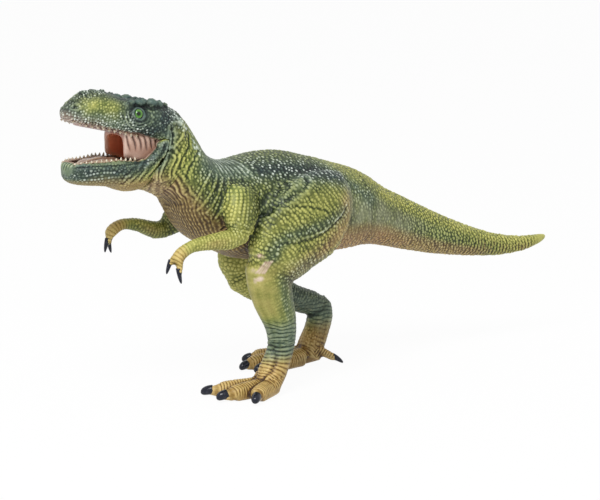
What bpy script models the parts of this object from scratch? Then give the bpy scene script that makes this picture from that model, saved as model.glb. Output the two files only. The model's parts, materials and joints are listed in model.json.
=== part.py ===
"""A large moulded toy dinosaur: a two-legged meat-eater that strides with its mouth open.

The figure is a set of solid plastic mouldings. The tail, arms, legs and head plug into the torso on pegs. The
lower jaw turns on a steel pin behind the mouth. Units are metres, +Z is up, the head looks along -X, and the
figure's own left side is at -Y.
"""

import math

import bmesh
import bpy
import numpy as np
from mathutils import Matrix, Vector

# Driving dimensions of the standing figure
BACK_LENGTH = 0.1000
BACK_HEIGHT = 0.1100
TRUNK_WIDTH = 0.0490
TAIL_LENGTH = 0.1280
TAIL_WIDTH = 0.0380
HINGE_AHEAD = 0.00925
HINGE_RISE = 0.00535
SKULL_LENGTH = 0.0443
SKULL_HEIGHT = 0.0220
SKULL_WIDTH = 0.0300
JAW_LENGTH = 0.0430
JAW_DEPTH = 0.0200
JAW_WIDTH = 0.0292
JAW_TRAVEL = math.radians(15)
HIP_HEIGHT = 0.0860
STRIDE = 0.0600
STANCE_WIDTH = 0.0420
THIGH_DEPTH = 0.0480
LEG_WIDTH = 0.0200
SHOULDER_FORWARD = 0.0475
SHOULDER_HEIGHT = 0.0930
SHOULDER_WIDTH = 0.0360
ARM_LENGTH = 0.0400
ARM_DEPTH = 0.0190
ARM_WIDTH = 0.0140

# Clearances between pieces
SEAM_GAP = 0.0003
SEAT_GAP = 0.0004
RUNNING_GAP = 0.0005
OVERRUN = 0.0100
WELD = 0.000002

# Pegs that hold the mouldings together, and the pin of the jaw
NECK_PEG_RADIUS = 0.0070
NECK_PEG_LENGTH = 0.0110
TAIL_PEG_RADIUS = 0.0080
TAIL_PEG_LENGTH = 0.0120
ARM_PEG_RADIUS = 0.0030
ARM_PEG_LENGTH = 0.0050
LEG_PEG_RADIUS = 0.0060
LEG_PEG_LENGTH = 0.0060
JAW_PIN_RADIUS = 0.0010
JAW_PIN_LENGTH = 0.0265
JAW_EAR_RADIUS = 0.0042

# Facets: how many sides each kind of round has
TRUNK_SIDES = 24
HEAD_SIDES = 22
TAIL_SIDES = 20
LIMB_SIDES = 14
DIGIT_SIDES = 10
CLAW_SIDES = 8

SIDE = Vector((0, 1, 0))
# The squareness at which an oval is a plain ellipse
ROUND = 2


def clear_scene():
    for obj in list(bpy.data.objects):
        bpy.data.objects.remove(obj, do_unlink=True)


def plastic(name, colour, roughness, metallic=0.0):
    material = bpy.data.materials.new(name)
    material.use_nodes = True
    shader = material.node_tree.nodes["Principled BSDF"]
    shader.inputs["Base Color"].default_value = (*colour, 1.0)
    shader.inputs["Roughness"].default_value = roughness
    shader.inputs["Metallic"].default_value = metallic
    material.diffuse_color = (*colour, 1.0)
    return material


def to_triangles(body, mesh):
    """Writes a bmesh to a mesh as triangles, because a cut through a bent four-sided face goes wrong."""
    bmesh.ops.triangulate(body, faces=body.faces)
    bmesh.ops.dissolve_degenerate(body, edges=body.edges, dist=WELD)
    body.to_mesh(mesh)
    body.free()


def new_object(name, body):
    """An object from a bmesh, with its faces turned outwards."""
    bmesh.ops.recalc_face_normals(body, faces=body.faces)
    mesh = bpy.data.meshes.new(name)
    to_triangles(body, mesh)
    obj = bpy.data.objects.new(name, mesh)
    bpy.context.scene.collection.objects.link(obj)
    return obj


def smooth_rows(rows, steps):
    """The rows of a table joined by one smooth curve, with this many spans between each two rows."""
    rows = np.array(rows, float)
    ends = np.vstack([2 * rows[0] - rows[1], rows, 2 * rows[-1] - rows[-2]])
    curve = []
    for before, start, stop, after in zip(ends, ends[1:], ends[2:], ends[3:]):
        for step in range(steps):
            t = step / steps
            linear = stop - before
            square = 2 * before - 5 * start + 4 * stop - after
            cube = 3 * start - before - 3 * stop + after
            curve.append(start + 0.5 * (linear * t + square * t**2 + cube * t**3))
    curve.append(rows[-1])
    return np.array(curve)


def oval(centre, side, up, half_width, rise, drop, squareness, sides):
    """A ring of points: half_width to each side, rise above the centre and drop below it."""
    points = []
    for i in range(sides):
        turn = 2 * math.pi * i / sides
        across, along = math.cos(turn), math.sin(turn)
        across = math.copysign(abs(across) ** (2 / squareness), across)
        along = math.copysign(abs(along) ** (2 / squareness), along)
        height = rise if along > 0 else drop
        points.append(centre + side * (half_width * across) + up * (height * along))
    return points


def loft(name, rings):
    """A closed body through the rings. A ring of one point closes to a tip."""
    body = bmesh.new()
    levels = [[body.verts.new(point) for point in ring] for ring in rings]
    for lower, upper in zip(levels, levels[1:]):
        count = max(len(lower), len(upper))
        for i in range(count):
            j = (i + 1) % count
            if len(lower) == 1:
                body.faces.new((lower[0], upper[j], upper[i]))
            elif len(upper) == 1:
                body.faces.new((lower[i], lower[j], upper[0]))
            else:
                body.faces.new((lower[i], lower[j], upper[j], upper[i]))
    for level in (levels[0], levels[-1]):
        if len(level) > 1:
            body.faces.new(level)
    return new_object(name, body)


def profile_loft(name, rows, steps, sides, tip=None):
    """A loft from rows of top x and z, bottom x and z, half width, widest place and squareness."""
    rings = []
    for top_x, top_z, bottom_x, bottom_z, half_width, widest, squareness in smooth_rows(rows, steps):
        top, bottom = Vector((top_x, 0, top_z)), Vector((bottom_x, 0, bottom_z))
        depth = (top - bottom).length
        up = (top - bottom) / depth
        centre = bottom + up * depth * widest
        rise, drop = depth * (1 - widest), depth * widest
        rings.append(oval(centre, SIDE, up, half_width, rise, drop, squareness, sides))
    if tip is not None:
        rings.append([Vector(tip)])
    return loft(name, rings)


def limb(name, rows, steps, sides, start=None, tip=None):
    """A loft along a spine, from rows of x, y, z, half depth and half width."""
    rows = smooth_rows(rows, steps)
    spine = [Vector(row[:3]) for row in rows]
    rings = []
    for i, row in enumerate(rows):
        ahead = spine[min(i + 1, len(spine) - 1)] - spine[max(i - 1, 0)]
        ahead.normalize()
        side = (SIDE - ahead * ahead.y).normalized()
        rings.append(oval(spine[i], side, ahead.cross(side), row[4], row[3], row[3], ROUND, sides))
    if start is not None:
        rings.insert(0, [Vector(start)])
    if tip is not None:
        rings.append([Vector(tip)])
    return loft(name, rings)


def bar(body, start, end, start_radius, end_radius, sides):
    """Adds a straight round bar or cone to a bmesh."""
    start, end = Vector(start), Vector(end)
    turn = Vector((0, 0, 1)).rotation_difference((end - start).normalized()).to_matrix().to_4x4()
    place = Matrix.Translation((start + end) / 2) @ turn
    bmesh.ops.create_cone(
        body,
        cap_ends=True,
        segments=sides,
        radius1=start_radius,
        radius2=end_radius,
        depth=(end - start).length,
        matrix=place,
    )


def rod(name, start, end, radius, sides=LIMB_SIDES):
    body = bmesh.new()
    bar(body, start, end, radius, radius, sides)
    return new_object(name, body)


def knobs(name, places):
    """Several round knobs in one object, from pairs of a place and three half sizes."""
    body = bmesh.new()
    for place, half_sizes in places:
        matrix = Matrix.Translation(place) @ Matrix.Diagonal((*half_sizes, 1))
        bmesh.ops.create_icosphere(body, subdivisions=1, radius=1, matrix=matrix)
    return new_object(name, body)


def settle(obj):
    """Applies the object's modifiers to its mesh."""
    graph = bpy.context.evaluated_depsgraph_get()
    old = obj.data
    mesh = bpy.data.meshes.new_from_object(obj.evaluated_get(graph))
    obj.modifiers.clear()
    body = bmesh.new()
    body.from_mesh(mesh)
    to_triangles(body, mesh)
    obj.data = mesh
    bpy.data.meshes.remove(old)


def combine(target, tool, operation="UNION"):
    """Joins the tool to the target, or cuts it away, and removes the tool."""
    modifier = target.modifiers.new(operation.title(), "BOOLEAN")
    modifier.solver = "EXACT"
    modifier.operation = operation
    modifier.object = tool
    bpy.context.view_layer.update()
    settle(target)
    bpy.data.objects.remove(tool, do_unlink=True)
    return target


def drop_flakes(obj):
    """Keeps the largest body of a piece, and removes the thin flakes that cuts left loose."""
    body = bmesh.new()
    body.from_mesh(obj.data)
    left, islands = set(body.verts), []
    while left:
        island, edge = set(), [left.pop()]
        while edge:
            vertex = edge.pop()
            island.add(vertex)
            near = {link.other_vert(vertex) for link in vertex.link_edges} & left
            left -= near
            edge.extend(near)
        islands.append(island)
    islands.sort(key=len)
    bmesh.ops.delete(body, geom=[vertex for island in islands[:-1] for vertex in island], context="VERTS")
    body.to_mesh(obj.data)
    body.free()


def swell(obj, gap):
    """Moves the object's skin out by a gap."""
    normals = [vertex.normal.copy() for vertex in obj.data.vertices]
    for vertex, normal in zip(obj.data.vertices, normals):
        vertex.co += normal * gap
    return obj


def seat(host, piece, gap=SEAT_GAP):
    """Cuts the pocket in the host that the piece sits in."""
    copy = piece.copy()
    copy.data = piece.data.copy()
    bpy.context.scene.collection.objects.link(copy)
    combine(host, swell(copy, gap), "DIFFERENCE")


def finish(obj, material):
    obj.data.materials.clear()
    obj.data.materials.append(material)
    obj.data.shade_smooth()
    obj.data.set_sharp_from_angle(angle=math.radians(40))


# Torso: shares of the back's length, the back's height and half the trunk's width
TRUNK_SHARES = (
    # top forward, top height, bottom forward, bottom height, half width, widest place, squareness
    (0.665, 1.168, 0.810, 0.862, 0.62, 0.50, 2.1),
    (0.618, 1.095, 0.752, 0.827, 0.68, 0.48, 2.1),
    (0.562, 1.018, 0.680, 0.727, 0.79, 0.46, 2.1),
    (0.460, 0.979, 0.618, 0.664, 0.88, 0.45, 2.1),
    (0.370, 0.983, 0.515, 0.615, 0.94, 0.45, 2.1),
    (0.280, 0.997, 0.415, 0.568, 0.98, 0.44, 2.1),
    (0.190, 1.002, 0.290, 0.547, 1.00, 0.44, 2.1),
    (0.100, 0.994, 0.150, 0.541, 0.99, 0.45, 2.1),
    (0.010, 0.973, 0.020, 0.541, 0.96, 0.46, 2.1),
    (-0.090, 0.949, -0.110, 0.543, 0.91, 0.47, 2.1),
    (-0.180, 0.924, -0.220, 0.545, 0.84, 0.48, 2.1),
    (-0.260, 0.904, -0.300, 0.550, 0.78, 0.50, 2.1),
)
TRUNK_STEPS = 2


def trunk_row(shares):
    """One row of the trunk's table in metres."""
    top_x, top_z, bottom_x, bottom_z, width, widest, squareness = shares
    return (
        -top_x * BACK_LENGTH,
        top_z * BACK_HEIGHT,
        -bottom_x * BACK_LENGTH,
        bottom_z * BACK_HEIGHT,
        width * TRUNK_WIDTH / 2,
        widest,
        squareness,
    )


NECK_SEAM = trunk_row(TRUNK_SHARES[0])
TAIL_SEAM = trunk_row(TRUNK_SHARES[-1])


def seam_frame(row):
    """The middle of a seam, and the direction square to it that points to the head."""
    top, bottom = Vector((row[0], 0, row[1])), Vector((row[2], 0, row[3]))
    along = (top - bottom).normalized()
    return (top + bottom) / 2, Vector((-along.z, 0, along.x))


def seam_peg(name, row, ahead, reach, radius, gap):
    """A round peg that stands out of a seam of the trunk, or the hole for it, grown by a gap."""
    middle, forward = seam_frame(row)
    ahead = ahead * forward
    return rod(name, middle - ahead * OVERRUN, middle + ahead * (reach + gap), radius + gap)


def make_torso():
    rows = [trunk_row(shares) for shares in TRUNK_SHARES]
    torso = profile_loft("torso", rows, TRUNK_STEPS, TRUNK_SIDES)
    neck_hole = seam_peg("neck_hole", NECK_SEAM, -1, NECK_PEG_LENGTH, NECK_PEG_RADIUS, SEAT_GAP)
    tail_hole = seam_peg("tail_hole", TAIL_SEAM, 1, TAIL_PEG_LENGTH, TAIL_PEG_RADIUS, SEAT_GAP)
    combine(torso, neck_hole, "DIFFERENCE")
    return combine(torso, tail_hole, "DIFFERENCE")


# Tail: shares of the tail's length, the back's height and half the tail's width
TAIL_SHARES = (
    # back from the tail seam, lean of the section, top height, bottom height, half width
    (0.000, 1.00, 0.904, 0.550, 1.00),
    (0.075, 0.80, 0.862, 0.549, 0.90),
    (0.155, 0.65, 0.800, 0.532, 0.78),
    (0.240, 0.50, 0.755, 0.510, 0.69),
    (0.400, 0.30, 0.667, 0.470, 0.54),
    (0.560, 0.15, 0.588, 0.443, 0.42),
    (0.720, 0.05, 0.525, 0.423, 0.30),
    (0.860, 0.00, 0.495, 0.425, 0.20),
    (0.955, 0.00, 0.493, 0.447, 0.13),
    (0.992, 0.00, 0.490, 0.467, 0.06),
)
TAIL_STEPS = 2
TAIL_SQUARENESS = 2.1


def make_tail():
    start = TAIL_SEAM[0] + SEAM_GAP
    lean = TAIL_SEAM[2] - TAIL_SEAM[0]
    rows = []
    for back, tilt, top, bottom, width in TAIL_SHARES:
        x = start + back * TAIL_LENGTH
        half = width * TAIL_WIDTH / 2
        ends = (x, top * BACK_HEIGHT, x + tilt * lean, bottom * BACK_HEIGHT)
        rows.append((*ends, half, 0.5, TAIL_SQUARENESS))
    tip_height = (rows[-1][1] + rows[-1][3]) / 2
    tail = profile_loft("tail", rows, TAIL_STEPS, TAIL_SIDES, tip=(start + TAIL_LENGTH, 0, tip_height))
    return combine(tail, seam_peg("tail_peg", TAIL_SEAM, 1, TAIL_PEG_LENGTH, TAIL_PEG_RADIUS, 0))


# Head and upper jaw: shares of the skull's length, height and half width, from the jaw hinge
SKULL_SHARES = (
    # forward, top height, lip height, half width, widest place, squareness
    (-0.226, 0.745, 0.000, 0.960, 0.46, 2.3),
    (-0.136, 0.836, -0.180, 0.980, 0.46, 2.3),
    (-0.046, 0.916, -0.159, 0.987, 0.45, 2.4),
    (0.068, 0.955, 0.127, 0.987, 0.42, 2.6),
    (0.180, 0.940, 0.236, 0.953, 0.40, 2.7),
    (0.294, 0.985, 0.300, 0.907, 0.38, 2.8),
    (0.429, 1.090, 0.364, 0.847, 0.36, 2.8),
    (0.590, 1.190, 0.445, 0.767, 0.35, 2.8),
    (0.750, 1.173, 0.518, 0.667, 0.36, 2.7),
    (0.875, 1.035, 0.582, 0.547, 0.38, 2.5),
    (0.958, 0.910, 0.645, 0.373, 0.42, 2.3),
)
SNOUT_TIP_SHARES = (1.000, 0.770)
SKULL_STEPS = 2
# The throat block behind the jaw: the same shares, measured from the hinge, after the neck seam itself
THROAT_SHARES = (
    # top forward, top height, bottom forward, bottom height, half width
    (-0.226, 0.727, 0.068, -0.900, 0.987),
    (0.000, 0.727, 0.170, -0.864, 0.880),
)
THROAT_SQUARENESS = 2.2
BROW_SHARES = (
    # forward, out from the middle, height, half length, half width, half height
    (0.350, 0.60, 0.930, 0.058, 0.14, 0.085),
    (0.240, 0.68, 0.940, 0.064, 0.15, 0.095),
    (0.117, 0.70, 0.905, 0.064, 0.15, 0.100),
    (0.016, 0.64, 0.860, 0.053, 0.14, 0.095),
    (-0.074, 0.52, 0.830, 0.048, 0.13, 0.090),
)
EYE_SHARES = (0.296, 0.80, 0.735, 0.066, 0.15, 0.105)
NOSTRIL_SHARES = (0.880, 0.47, 0.840, 0.028, 0.08, 0.040)
RIDGE_SHARES = (0.45, 0.86)
RIDGE_KNOBS = 5
RIDGE_KNOB_SHARES = (0.042, 0.20, 0.050)


def hinge_point():
    """The jaw's hinge, ahead of the middle of the neck seam and above it."""
    return seam_frame(NECK_SEAM)[0] + Vector((-HINGE_AHEAD, 0, HINGE_RISE))


def head_place(forward, out, height):
    """A place on the head in metres, from the hinge."""
    return hinge_point() + Vector((-forward * SKULL_LENGTH, out * SKULL_WIDTH / 2, height * SKULL_HEIGHT))


def column(table, index, forward):
    """A column of a table, read between its rows at this distance forward."""
    return float(np.interp(forward, [row[0] for row in table], [row[index] for row in table]))


def head_knob(shares, sign):
    forward, out, height, half_length, half_width, half_height = shares
    half_sizes = (half_length * SKULL_LENGTH, half_width * SKULL_WIDTH / 2, half_height * SKULL_HEIGHT)
    return head_place(forward, sign * out, height), half_sizes


# Teeth: how many on each side, where the first and last stand, and their size
UPPER_TEETH = 10
UPPER_TEETH_SHARES = (0.30, 0.94)
UPPER_TOOTH_LENGTH = 0.0016
LOWER_TEETH = 11
LOWER_TEETH_SHARES = (0.34, 0.95)
LOWER_TOOTH_LENGTH = 0.0015
TOOTH_RADIUS = 0.0008
TOOTH_ROOT = 0.0018
TOOTH_SIDES = 5
SHORT_TOOTH_SHARE = 0.7
# How far out the rows stand across the jaws, and how deep the gums lie inside the lips
UPPER_GUM_SHARE, UPPER_LIP_SHARE = 0.80, 0.02
LOWER_GUM_SHARE, LOWER_LIP_SHARE = 0.84, 0.02


def tooth_row(name, places, down):
    """Cones at the places, long and short in turn; down is -1 for the upper row and 1 for the lower."""
    body = bmesh.new()
    for i, (gum, length) in enumerate(places):
        length *= SHORT_TOOTH_SHARE if i % 2 else 1
        root = gum - Vector((0, 0, down * TOOTH_ROOT))
        bar(body, root, gum + Vector((0, 0, down * length)), TOOTH_RADIUS, 0, TOOTH_SIDES)
    return new_object(name, body)


def upper_tooth_places():
    places = []
    for forward in np.linspace(*UPPER_TEETH_SHARES, UPPER_TEETH):
        out = column(SKULL_SHARES, 3, forward) * UPPER_GUM_SHARE
        lip = column(SKULL_SHARES, 2, forward) + UPPER_LIP_SHARE
        for sign in (-1, 1):
            places.append((head_place(forward, sign * out, lip), UPPER_TOOTH_LENGTH))
    return places


def make_head():
    rows = []
    for forward, top, lip, width, widest, squareness in SKULL_SHARES:
        x = head_place(forward, 0, 0).x
        top_z, lip_z = head_place(0, 0, top).z, head_place(0, 0, lip).z
        rows.append((x, top_z, x, lip_z, width * SKULL_WIDTH / 2, widest, squareness))
    tip = head_place(SNOUT_TIP_SHARES[0], 0, SNOUT_TIP_SHARES[1])
    head = profile_loft("head", rows, SKULL_STEPS, HEAD_SIDES, tip=tip)
    throat_rows = [(NECK_SEAM[0] - SEAM_GAP, NECK_SEAM[1], NECK_SEAM[2] - SEAM_GAP, *NECK_SEAM[3:])]
    for top_forward, top, bottom_forward, bottom, width in THROAT_SHARES:
        top_place, bottom_place = head_place(top_forward, 0, top), head_place(bottom_forward, 0, bottom)
        half = width * SKULL_WIDTH / 2
        ends = (top_place.x, top_place.z, bottom_place.x, bottom_place.z)
        throat_rows.append((*ends, half, 0.5, THROAT_SQUARENESS))
    combine(head, profile_loft("throat", throat_rows, TRUNK_STEPS, TRUNK_SIDES))
    bumps = [head_knob(shares, sign) for shares in (*BROW_SHARES, EYE_SHARES) for sign in (-1, 1)]
    for forward in np.linspace(*RIDGE_SHARES, RIDGE_KNOBS):
        bumps.append(head_knob((forward, 0, column(SKULL_SHARES, 1, forward), *RIDGE_KNOB_SHARES), 1))
    combine(head, merged(knobs("knobs", bumps)))
    combine(head, knobs("nostrils", [head_knob(NOSTRIL_SHARES, sign) for sign in (-1, 1)]), "DIFFERENCE")
    combine(head, tooth_row("upper_teeth", upper_tooth_places(), -1))
    return combine(head, seam_peg("neck_peg", NECK_SEAM, -1, NECK_PEG_LENGTH, NECK_PEG_RADIUS, 0))


def merged(obj):
    """Unites the knobs of one object where they run into each other."""
    modifier = obj.modifiers.new("Self", "BOOLEAN")
    modifier.solver = "EXACT"
    modifier.use_self = True
    modifier.operation = "UNION"
    body = bmesh.new()
    seed = new_object("seed", body)
    modifier.object = seed
    settle(obj)
    bpy.data.objects.remove(seed, do_unlink=True)
    return obj


# Lower jaw: shares of the jaw's length, depth and half width, from the hinge
JAW_SHARES = (
    # forward, rim height, bottom height, half width
    (-0.047, 0.160, -0.120, 0.986),
    (0.012, 0.180, -0.240, 1.000),
    (0.074, 0.120, -0.530, 1.007),
    (0.151, -0.040, -0.800, 1.000),
    (0.233, -0.150, -0.925, 0.979),
    (0.372, -0.190, -0.940, 0.932),
    (0.520, -0.165, -0.815, 0.863),
    (0.675, -0.185, -0.765, 0.767),
    (0.830, -0.185, -0.730, 0.651),
    (0.936, -0.200, -0.680, 0.507),
    (1.000, -0.240, -0.590, 0.300),
)
CHIN_SHARES = (1.025, -0.410)
JAW_STEPS = 2
JAW_WIDEST_SHARE, JAW_SQUARENESS = 0.82, 2.8
TROUGH_SIDES, TROUGH_SQUARENESS = 16, 6
TROUGH_SHARES = (
    # forward, floor height, half width
    (-0.163, -0.300, 0.700),
    (0.012, -0.300, 0.715),
    (0.074, -0.385, 0.735),
    (0.151, -0.590, 0.755),
    (0.233, -0.660, 0.765),
    (0.372, -0.670, 0.735),
    (0.520, -0.600, 0.675),
    (0.675, -0.500, 0.575),
    (0.830, -0.425, 0.452),
    (0.926, -0.365, 0.300),
)
TROUGH_TOP_SHARE = 0.450
TROUGH_CORNER_RISE = 0.0013
JAW_PATH_ROWS = 7


def jaw_place(forward, out, height):
    """A place on the lower jaw in metres, from the hinge."""
    return hinge_point() + Vector((-forward * JAW_LENGTH, out * JAW_WIDTH / 2, height * JAW_DEPTH))


def jaw_rows(table, widest, squareness):
    """Upright loft rows from a table of forward, top, bottom and half width shares."""
    rows = []
    for forward, top, bottom, width in table:
        upper, lower = jaw_place(forward, 0, top), jaw_place(forward, 0, bottom)
        rows.append((upper.x, upper.z, lower.x, lower.z, width * JAW_WIDTH / 2, widest, squareness))
    return rows


def lower_tooth_places():
    places = []
    for forward in np.linspace(*LOWER_TEETH_SHARES, LOWER_TEETH):
        out = column(JAW_SHARES, 3, forward) * LOWER_GUM_SHARE
        rim = column(JAW_SHARES, 1, forward) - LOWER_LIP_SHARE
        for sign in (-1, 1):
            places.append((jaw_place(forward, sign * out, rim), LOWER_TOOTH_LENGTH))
    return places


def jaw_ears(gap):
    """The round of the jaw about its hinge, grown by a gap."""
    reach = SIDE * (JAW_SHARES[1][3] * JAW_WIDTH / 2 + gap)
    return rod("ears", hinge_point() - reach, hinge_point() + reach, JAW_EAR_RADIUS + gap)


def make_lower_jaw(pin):
    chin = jaw_place(CHIN_SHARES[0], 0, CHIN_SHARES[1])
    rows = jaw_rows(JAW_SHARES, JAW_WIDEST_SHARE, JAW_SQUARENESS)
    jaw = profile_loft("lower_jaw", rows, JAW_STEPS, HEAD_SIDES, tip=chin)
    combine(jaw, jaw_ears(0))
    trough = [(forward, TROUGH_TOP_SHARE, floor, width) for forward, floor, width in TROUGH_SHARES]
    rows = jaw_rows(trough, 0.5, TROUGH_SQUARENESS)
    combine(jaw, profile_loft("trough", rows, JAW_STEPS, TROUGH_SIDES), "DIFFERENCE")
    combine(jaw, tooth_row("lower_teeth", lower_tooth_places(), 1))
    seat(jaw, pin, SEAM_GAP)
    return jaw


def make_jaw_pin():
    reach = SIDE * JAW_PIN_LENGTH / 2
    return rod("jaw_pin", hinge_point() - reach, hinge_point() + reach, JAW_PIN_RADIUS, DIGIT_SIDES)


# Tongue: shares of the jaw's length, depth and half width
TONGUE_SHARES = (
    # forward, top height, half width
    (0.350, -0.300, 0.22),
    (0.420, -0.230, 0.36),
    (0.540, -0.190, 0.40),
    (0.670, -0.200, 0.36),
    (0.790, -0.230, 0.27),
    (0.850, -0.260, 0.14),
)
TONGUE_FLOOR_SHARE = 0.010
TONGUE_SQUARENESS = 2.4


def make_tongue():
    rows = []
    for forward, top, width in TONGUE_SHARES:
        floor = column(TROUGH_SHARES, 1, forward) + SEAT_GAP / JAW_DEPTH + TONGUE_FLOOR_SHARE
        rows.append((forward, top, floor, width))
    return profile_loft("tongue", jaw_rows(rows, 0.5, TONGUE_SQUARENESS), JAW_STEPS, DIGIT_SIDES)


# Mouth lining: shares of the skull's length, height and half width
PALATE_SHARES = (
    # forward, half width
    (0.350, 0.44),
    (0.560, 0.47),
    (0.745, 0.38),
    (0.860, 0.24),
)
POUCH_SHARES = (
    # forward, top height, bottom height, half width
    (0.100, 0.270, -0.300, 0.60),
    (0.190, 0.320, -0.330, 0.61),
    (0.290, 0.370, -0.230, 0.61),
    (0.410, 0.430, -0.170, 0.60),
)
LINING_SIDES = 20
LINING_WALL = 0.0022
LINING_SQUARENESS, PALATE_SQUARENESS = 5, 4
PALATE_RISE = 0.0012
PALATE_DROP = 0.0006


def make_mouth_lining():
    rows = []
    for forward, top, bottom, width in POUCH_SHARES:
        upper, lower = head_place(forward, 0, top), head_place(forward, 0, bottom)
        half = width * SKULL_WIDTH / 2
        rows.append((upper.x, upper.z, lower.x, lower.z, half, 0.5, LINING_SQUARENESS))
    lining = profile_loft("mouth_lining", rows, 1, LINING_SIDES)
    hollow = []
    for i, row in enumerate(rows):
        x = row[0] - (LINING_WALL if i == 0 else 0) - (OVERRUN if i == len(rows) - 1 else 0)
        half = row[4] - LINING_WALL
        hollow.append((x, row[1] - LINING_WALL, x, row[3] - OVERRUN, half, 0.5, LINING_SQUARENESS))
    combine(lining, profile_loft("hollow", hollow, 1, LINING_SIDES), "DIFFERENCE")
    plate = []
    for forward, width in PALATE_SHARES:
        lip = head_place(forward, 0, column(SKULL_SHARES, 2, forward))
        top, bottom, half = lip.z + PALATE_RISE, lip.z - PALATE_DROP, width * SKULL_WIDTH / 2
        plate.append((lip.x, top, lip.x, bottom, half, 0.5, PALATE_SQUARENESS))
    return combine(lining, profile_loft("palate", plate, 1, LINING_SIDES))


def side_block(name, outline, half_width, gap):
    """A flat-sided block with this outline seen from the side, grown by a gap."""
    body = bmesh.new()
    near = [body.verts.new((point.x, -half_width, point.z)) for point in outline]
    far = [body.verts.new((point.x, half_width, point.z)) for point in outline]
    body.faces.new(near)
    body.faces.new(far)
    for i, corner in enumerate(near):
        j = (i + 1) % len(near)
        body.faces.new((corner, near[j], far[j], far[i]))
    return swell(new_object(name, body), gap)


def shut(place):
    """Where a place on the lower jaw comes to when the mouth is shut."""
    return hinge_point() + Matrix.Rotation(JAW_TRAVEL, 3, "Y") @ (place - hinge_point())


def jaw_path_block():
    """All that the back of the jaw passes through, grown by a gap, open between its ears."""
    rows = JAW_SHARES[:JAW_PATH_ROWS]
    outline = [shut(jaw_place(row[0], 0, row[1])) for row in rows]
    outline += [jaw_place(row[0], 0, row[2]) for row in rows[::-1]]
    outer = max(row[3] for row in rows) * JAW_WIDTH / 2
    block = side_block("jaw_path", outline, outer, 2 * RUNNING_GAP)
    combine(block, jaw_ears(RUNNING_GAP))
    rows = TROUGH_SHARES[:JAW_PATH_ROWS]
    outline = [shut(jaw_place(row[0], 0, TROUGH_TOP_SHARE)) for row in rows]
    rise = Vector((0, 0, TROUGH_CORNER_RISE))
    outline += [shut(jaw_place(row[0], 0, row[1])) + rise for row in rows[::-1]]
    inner = min(row[2] for row in rows) * JAW_WIDTH / 2
    return combine(block, side_block("trough_path", outline, inner, -RUNNING_GAP), "DIFFERENCE")


# Claws: a curved spike that starts inside the end of its digit
CLAW_ROOT = 0.0015
CLAW_ROOT_SHARE = 0.9
CLAW_MIDDLE_SHARES = (0.72, 0.66)
CLAW_POINT_SHARES = (0.34, 0.30)


def claw(name, root, tip, radius, sag):
    """A claw from root to tip that bends down by sag on its way."""
    root, tip = Vector(root), Vector(tip)
    ahead = (tip - root).normalized()
    middle = (root + tip) / 2 + Vector((0, 0, sag))
    rows = [
        (*(root - ahead * CLAW_ROOT), radius * CLAW_ROOT_SHARE, radius * CLAW_ROOT_SHARE),
        (*root, radius, radius),
        (*middle, *(radius * share for share in CLAW_MIDDLE_SHARES)),
        (*middle.lerp(tip, 0.75), *(radius * share for share in CLAW_POINT_SHARES)),
    ]
    return limb(name, rows, 1, CLAW_SIDES, tip=tip)


# Arms: shares of the arm's length from the shoulder, of half its depth and of half its width
LEFT_UPPER_ARM_SHARES = (
    # forward, height, out, half depth, half width
    (-0.038, 0.100, -0.003, 0.737, 0.714),
    (0.000, -0.025, 0.038, 1.000, 1.000),
    (0.050, -0.188, 0.125, 0.895, 0.943),
    (0.100, -0.350, 0.205, 0.653, 0.743),
)
LEFT_FOREARM_SHARES = (
    (0.087, -0.375, 0.225, 0.442, 0.571),
    (0.288, -0.425, 0.238, 0.484, 0.600),
    (0.545, -0.430, 0.238, 0.379, 0.486),
    (0.785, -0.452, 0.238, 0.300, 0.386),
    (0.925, -0.525, 0.230, 0.316, 0.443),
    (0.970, -0.585, 0.225, 0.263, 0.457),
)
LEFT_FINGER_SHARES = (
    # root forward, height, out, then knuckle, then claw tip
    ((0.965, -0.555, 0.195), (1.035, -0.625, 0.180), (1.065, -0.710, 0.175)),
    ((0.950, -0.585, 0.255), (0.970, -0.715, 0.270), (0.950, -0.828, 0.275)),
)
RIGHT_UPPER_ARM_SHARES = (
    (-0.038, 0.050, -0.003, 0.737, 0.714),
    (0.012, -0.100, 0.038, 0.947, 0.971),
    (0.113, -0.275, 0.100, 0.800, 0.857),
    (0.238, -0.438, 0.145, 0.589, 0.714),
)
RIGHT_FOREARM_SHARES = (
    (0.250, -0.460, 0.150, 0.442, 0.571),
    (0.438, -0.475, 0.145, 0.442, 0.543),
    (0.663, -0.395, 0.125, 0.336, 0.429),
    (0.888, -0.355, 0.113, 0.290, 0.371),
    (1.025, -0.400, 0.105, 0.315, 0.429),
    (1.085, -0.460, 0.100, 0.263, 0.443),
)
RIGHT_FINGER_SHARES = (
    ((1.082, -0.445, 0.070), (1.135, -0.525, 0.060), (1.145, -0.630, 0.055)),
    ((1.062, -0.475, 0.130), (1.072, -0.565, 0.140), (1.052, -0.660, 0.145)),
)
ARM_STEPS = 2
FINGER_RADIUS = 0.0019
KNUCKLE_SHARE = 0.85
FINGER_END_SHARE = 0.8
HAND_CLAW_RADIUS = 0.0013
HAND_CLAW_SAG = 0.0004


def arm_place(sign, forward, height, out):
    """A place on an arm in metres, from its shoulder."""
    shoulder = Vector((-SHOULDER_FORWARD, sign * SHOULDER_WIDTH / 2, SHOULDER_HEIGHT))
    return shoulder + Vector((-forward, sign * out, height)) * ARM_LENGTH


def arm_rows(sign, table):
    rows = []
    for forward, height, out, depth, width in table:
        place = arm_place(sign, forward, height, out)
        rows.append((*place, depth * ARM_DEPTH / 2, width * ARM_WIDTH / 2))
    return rows


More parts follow.
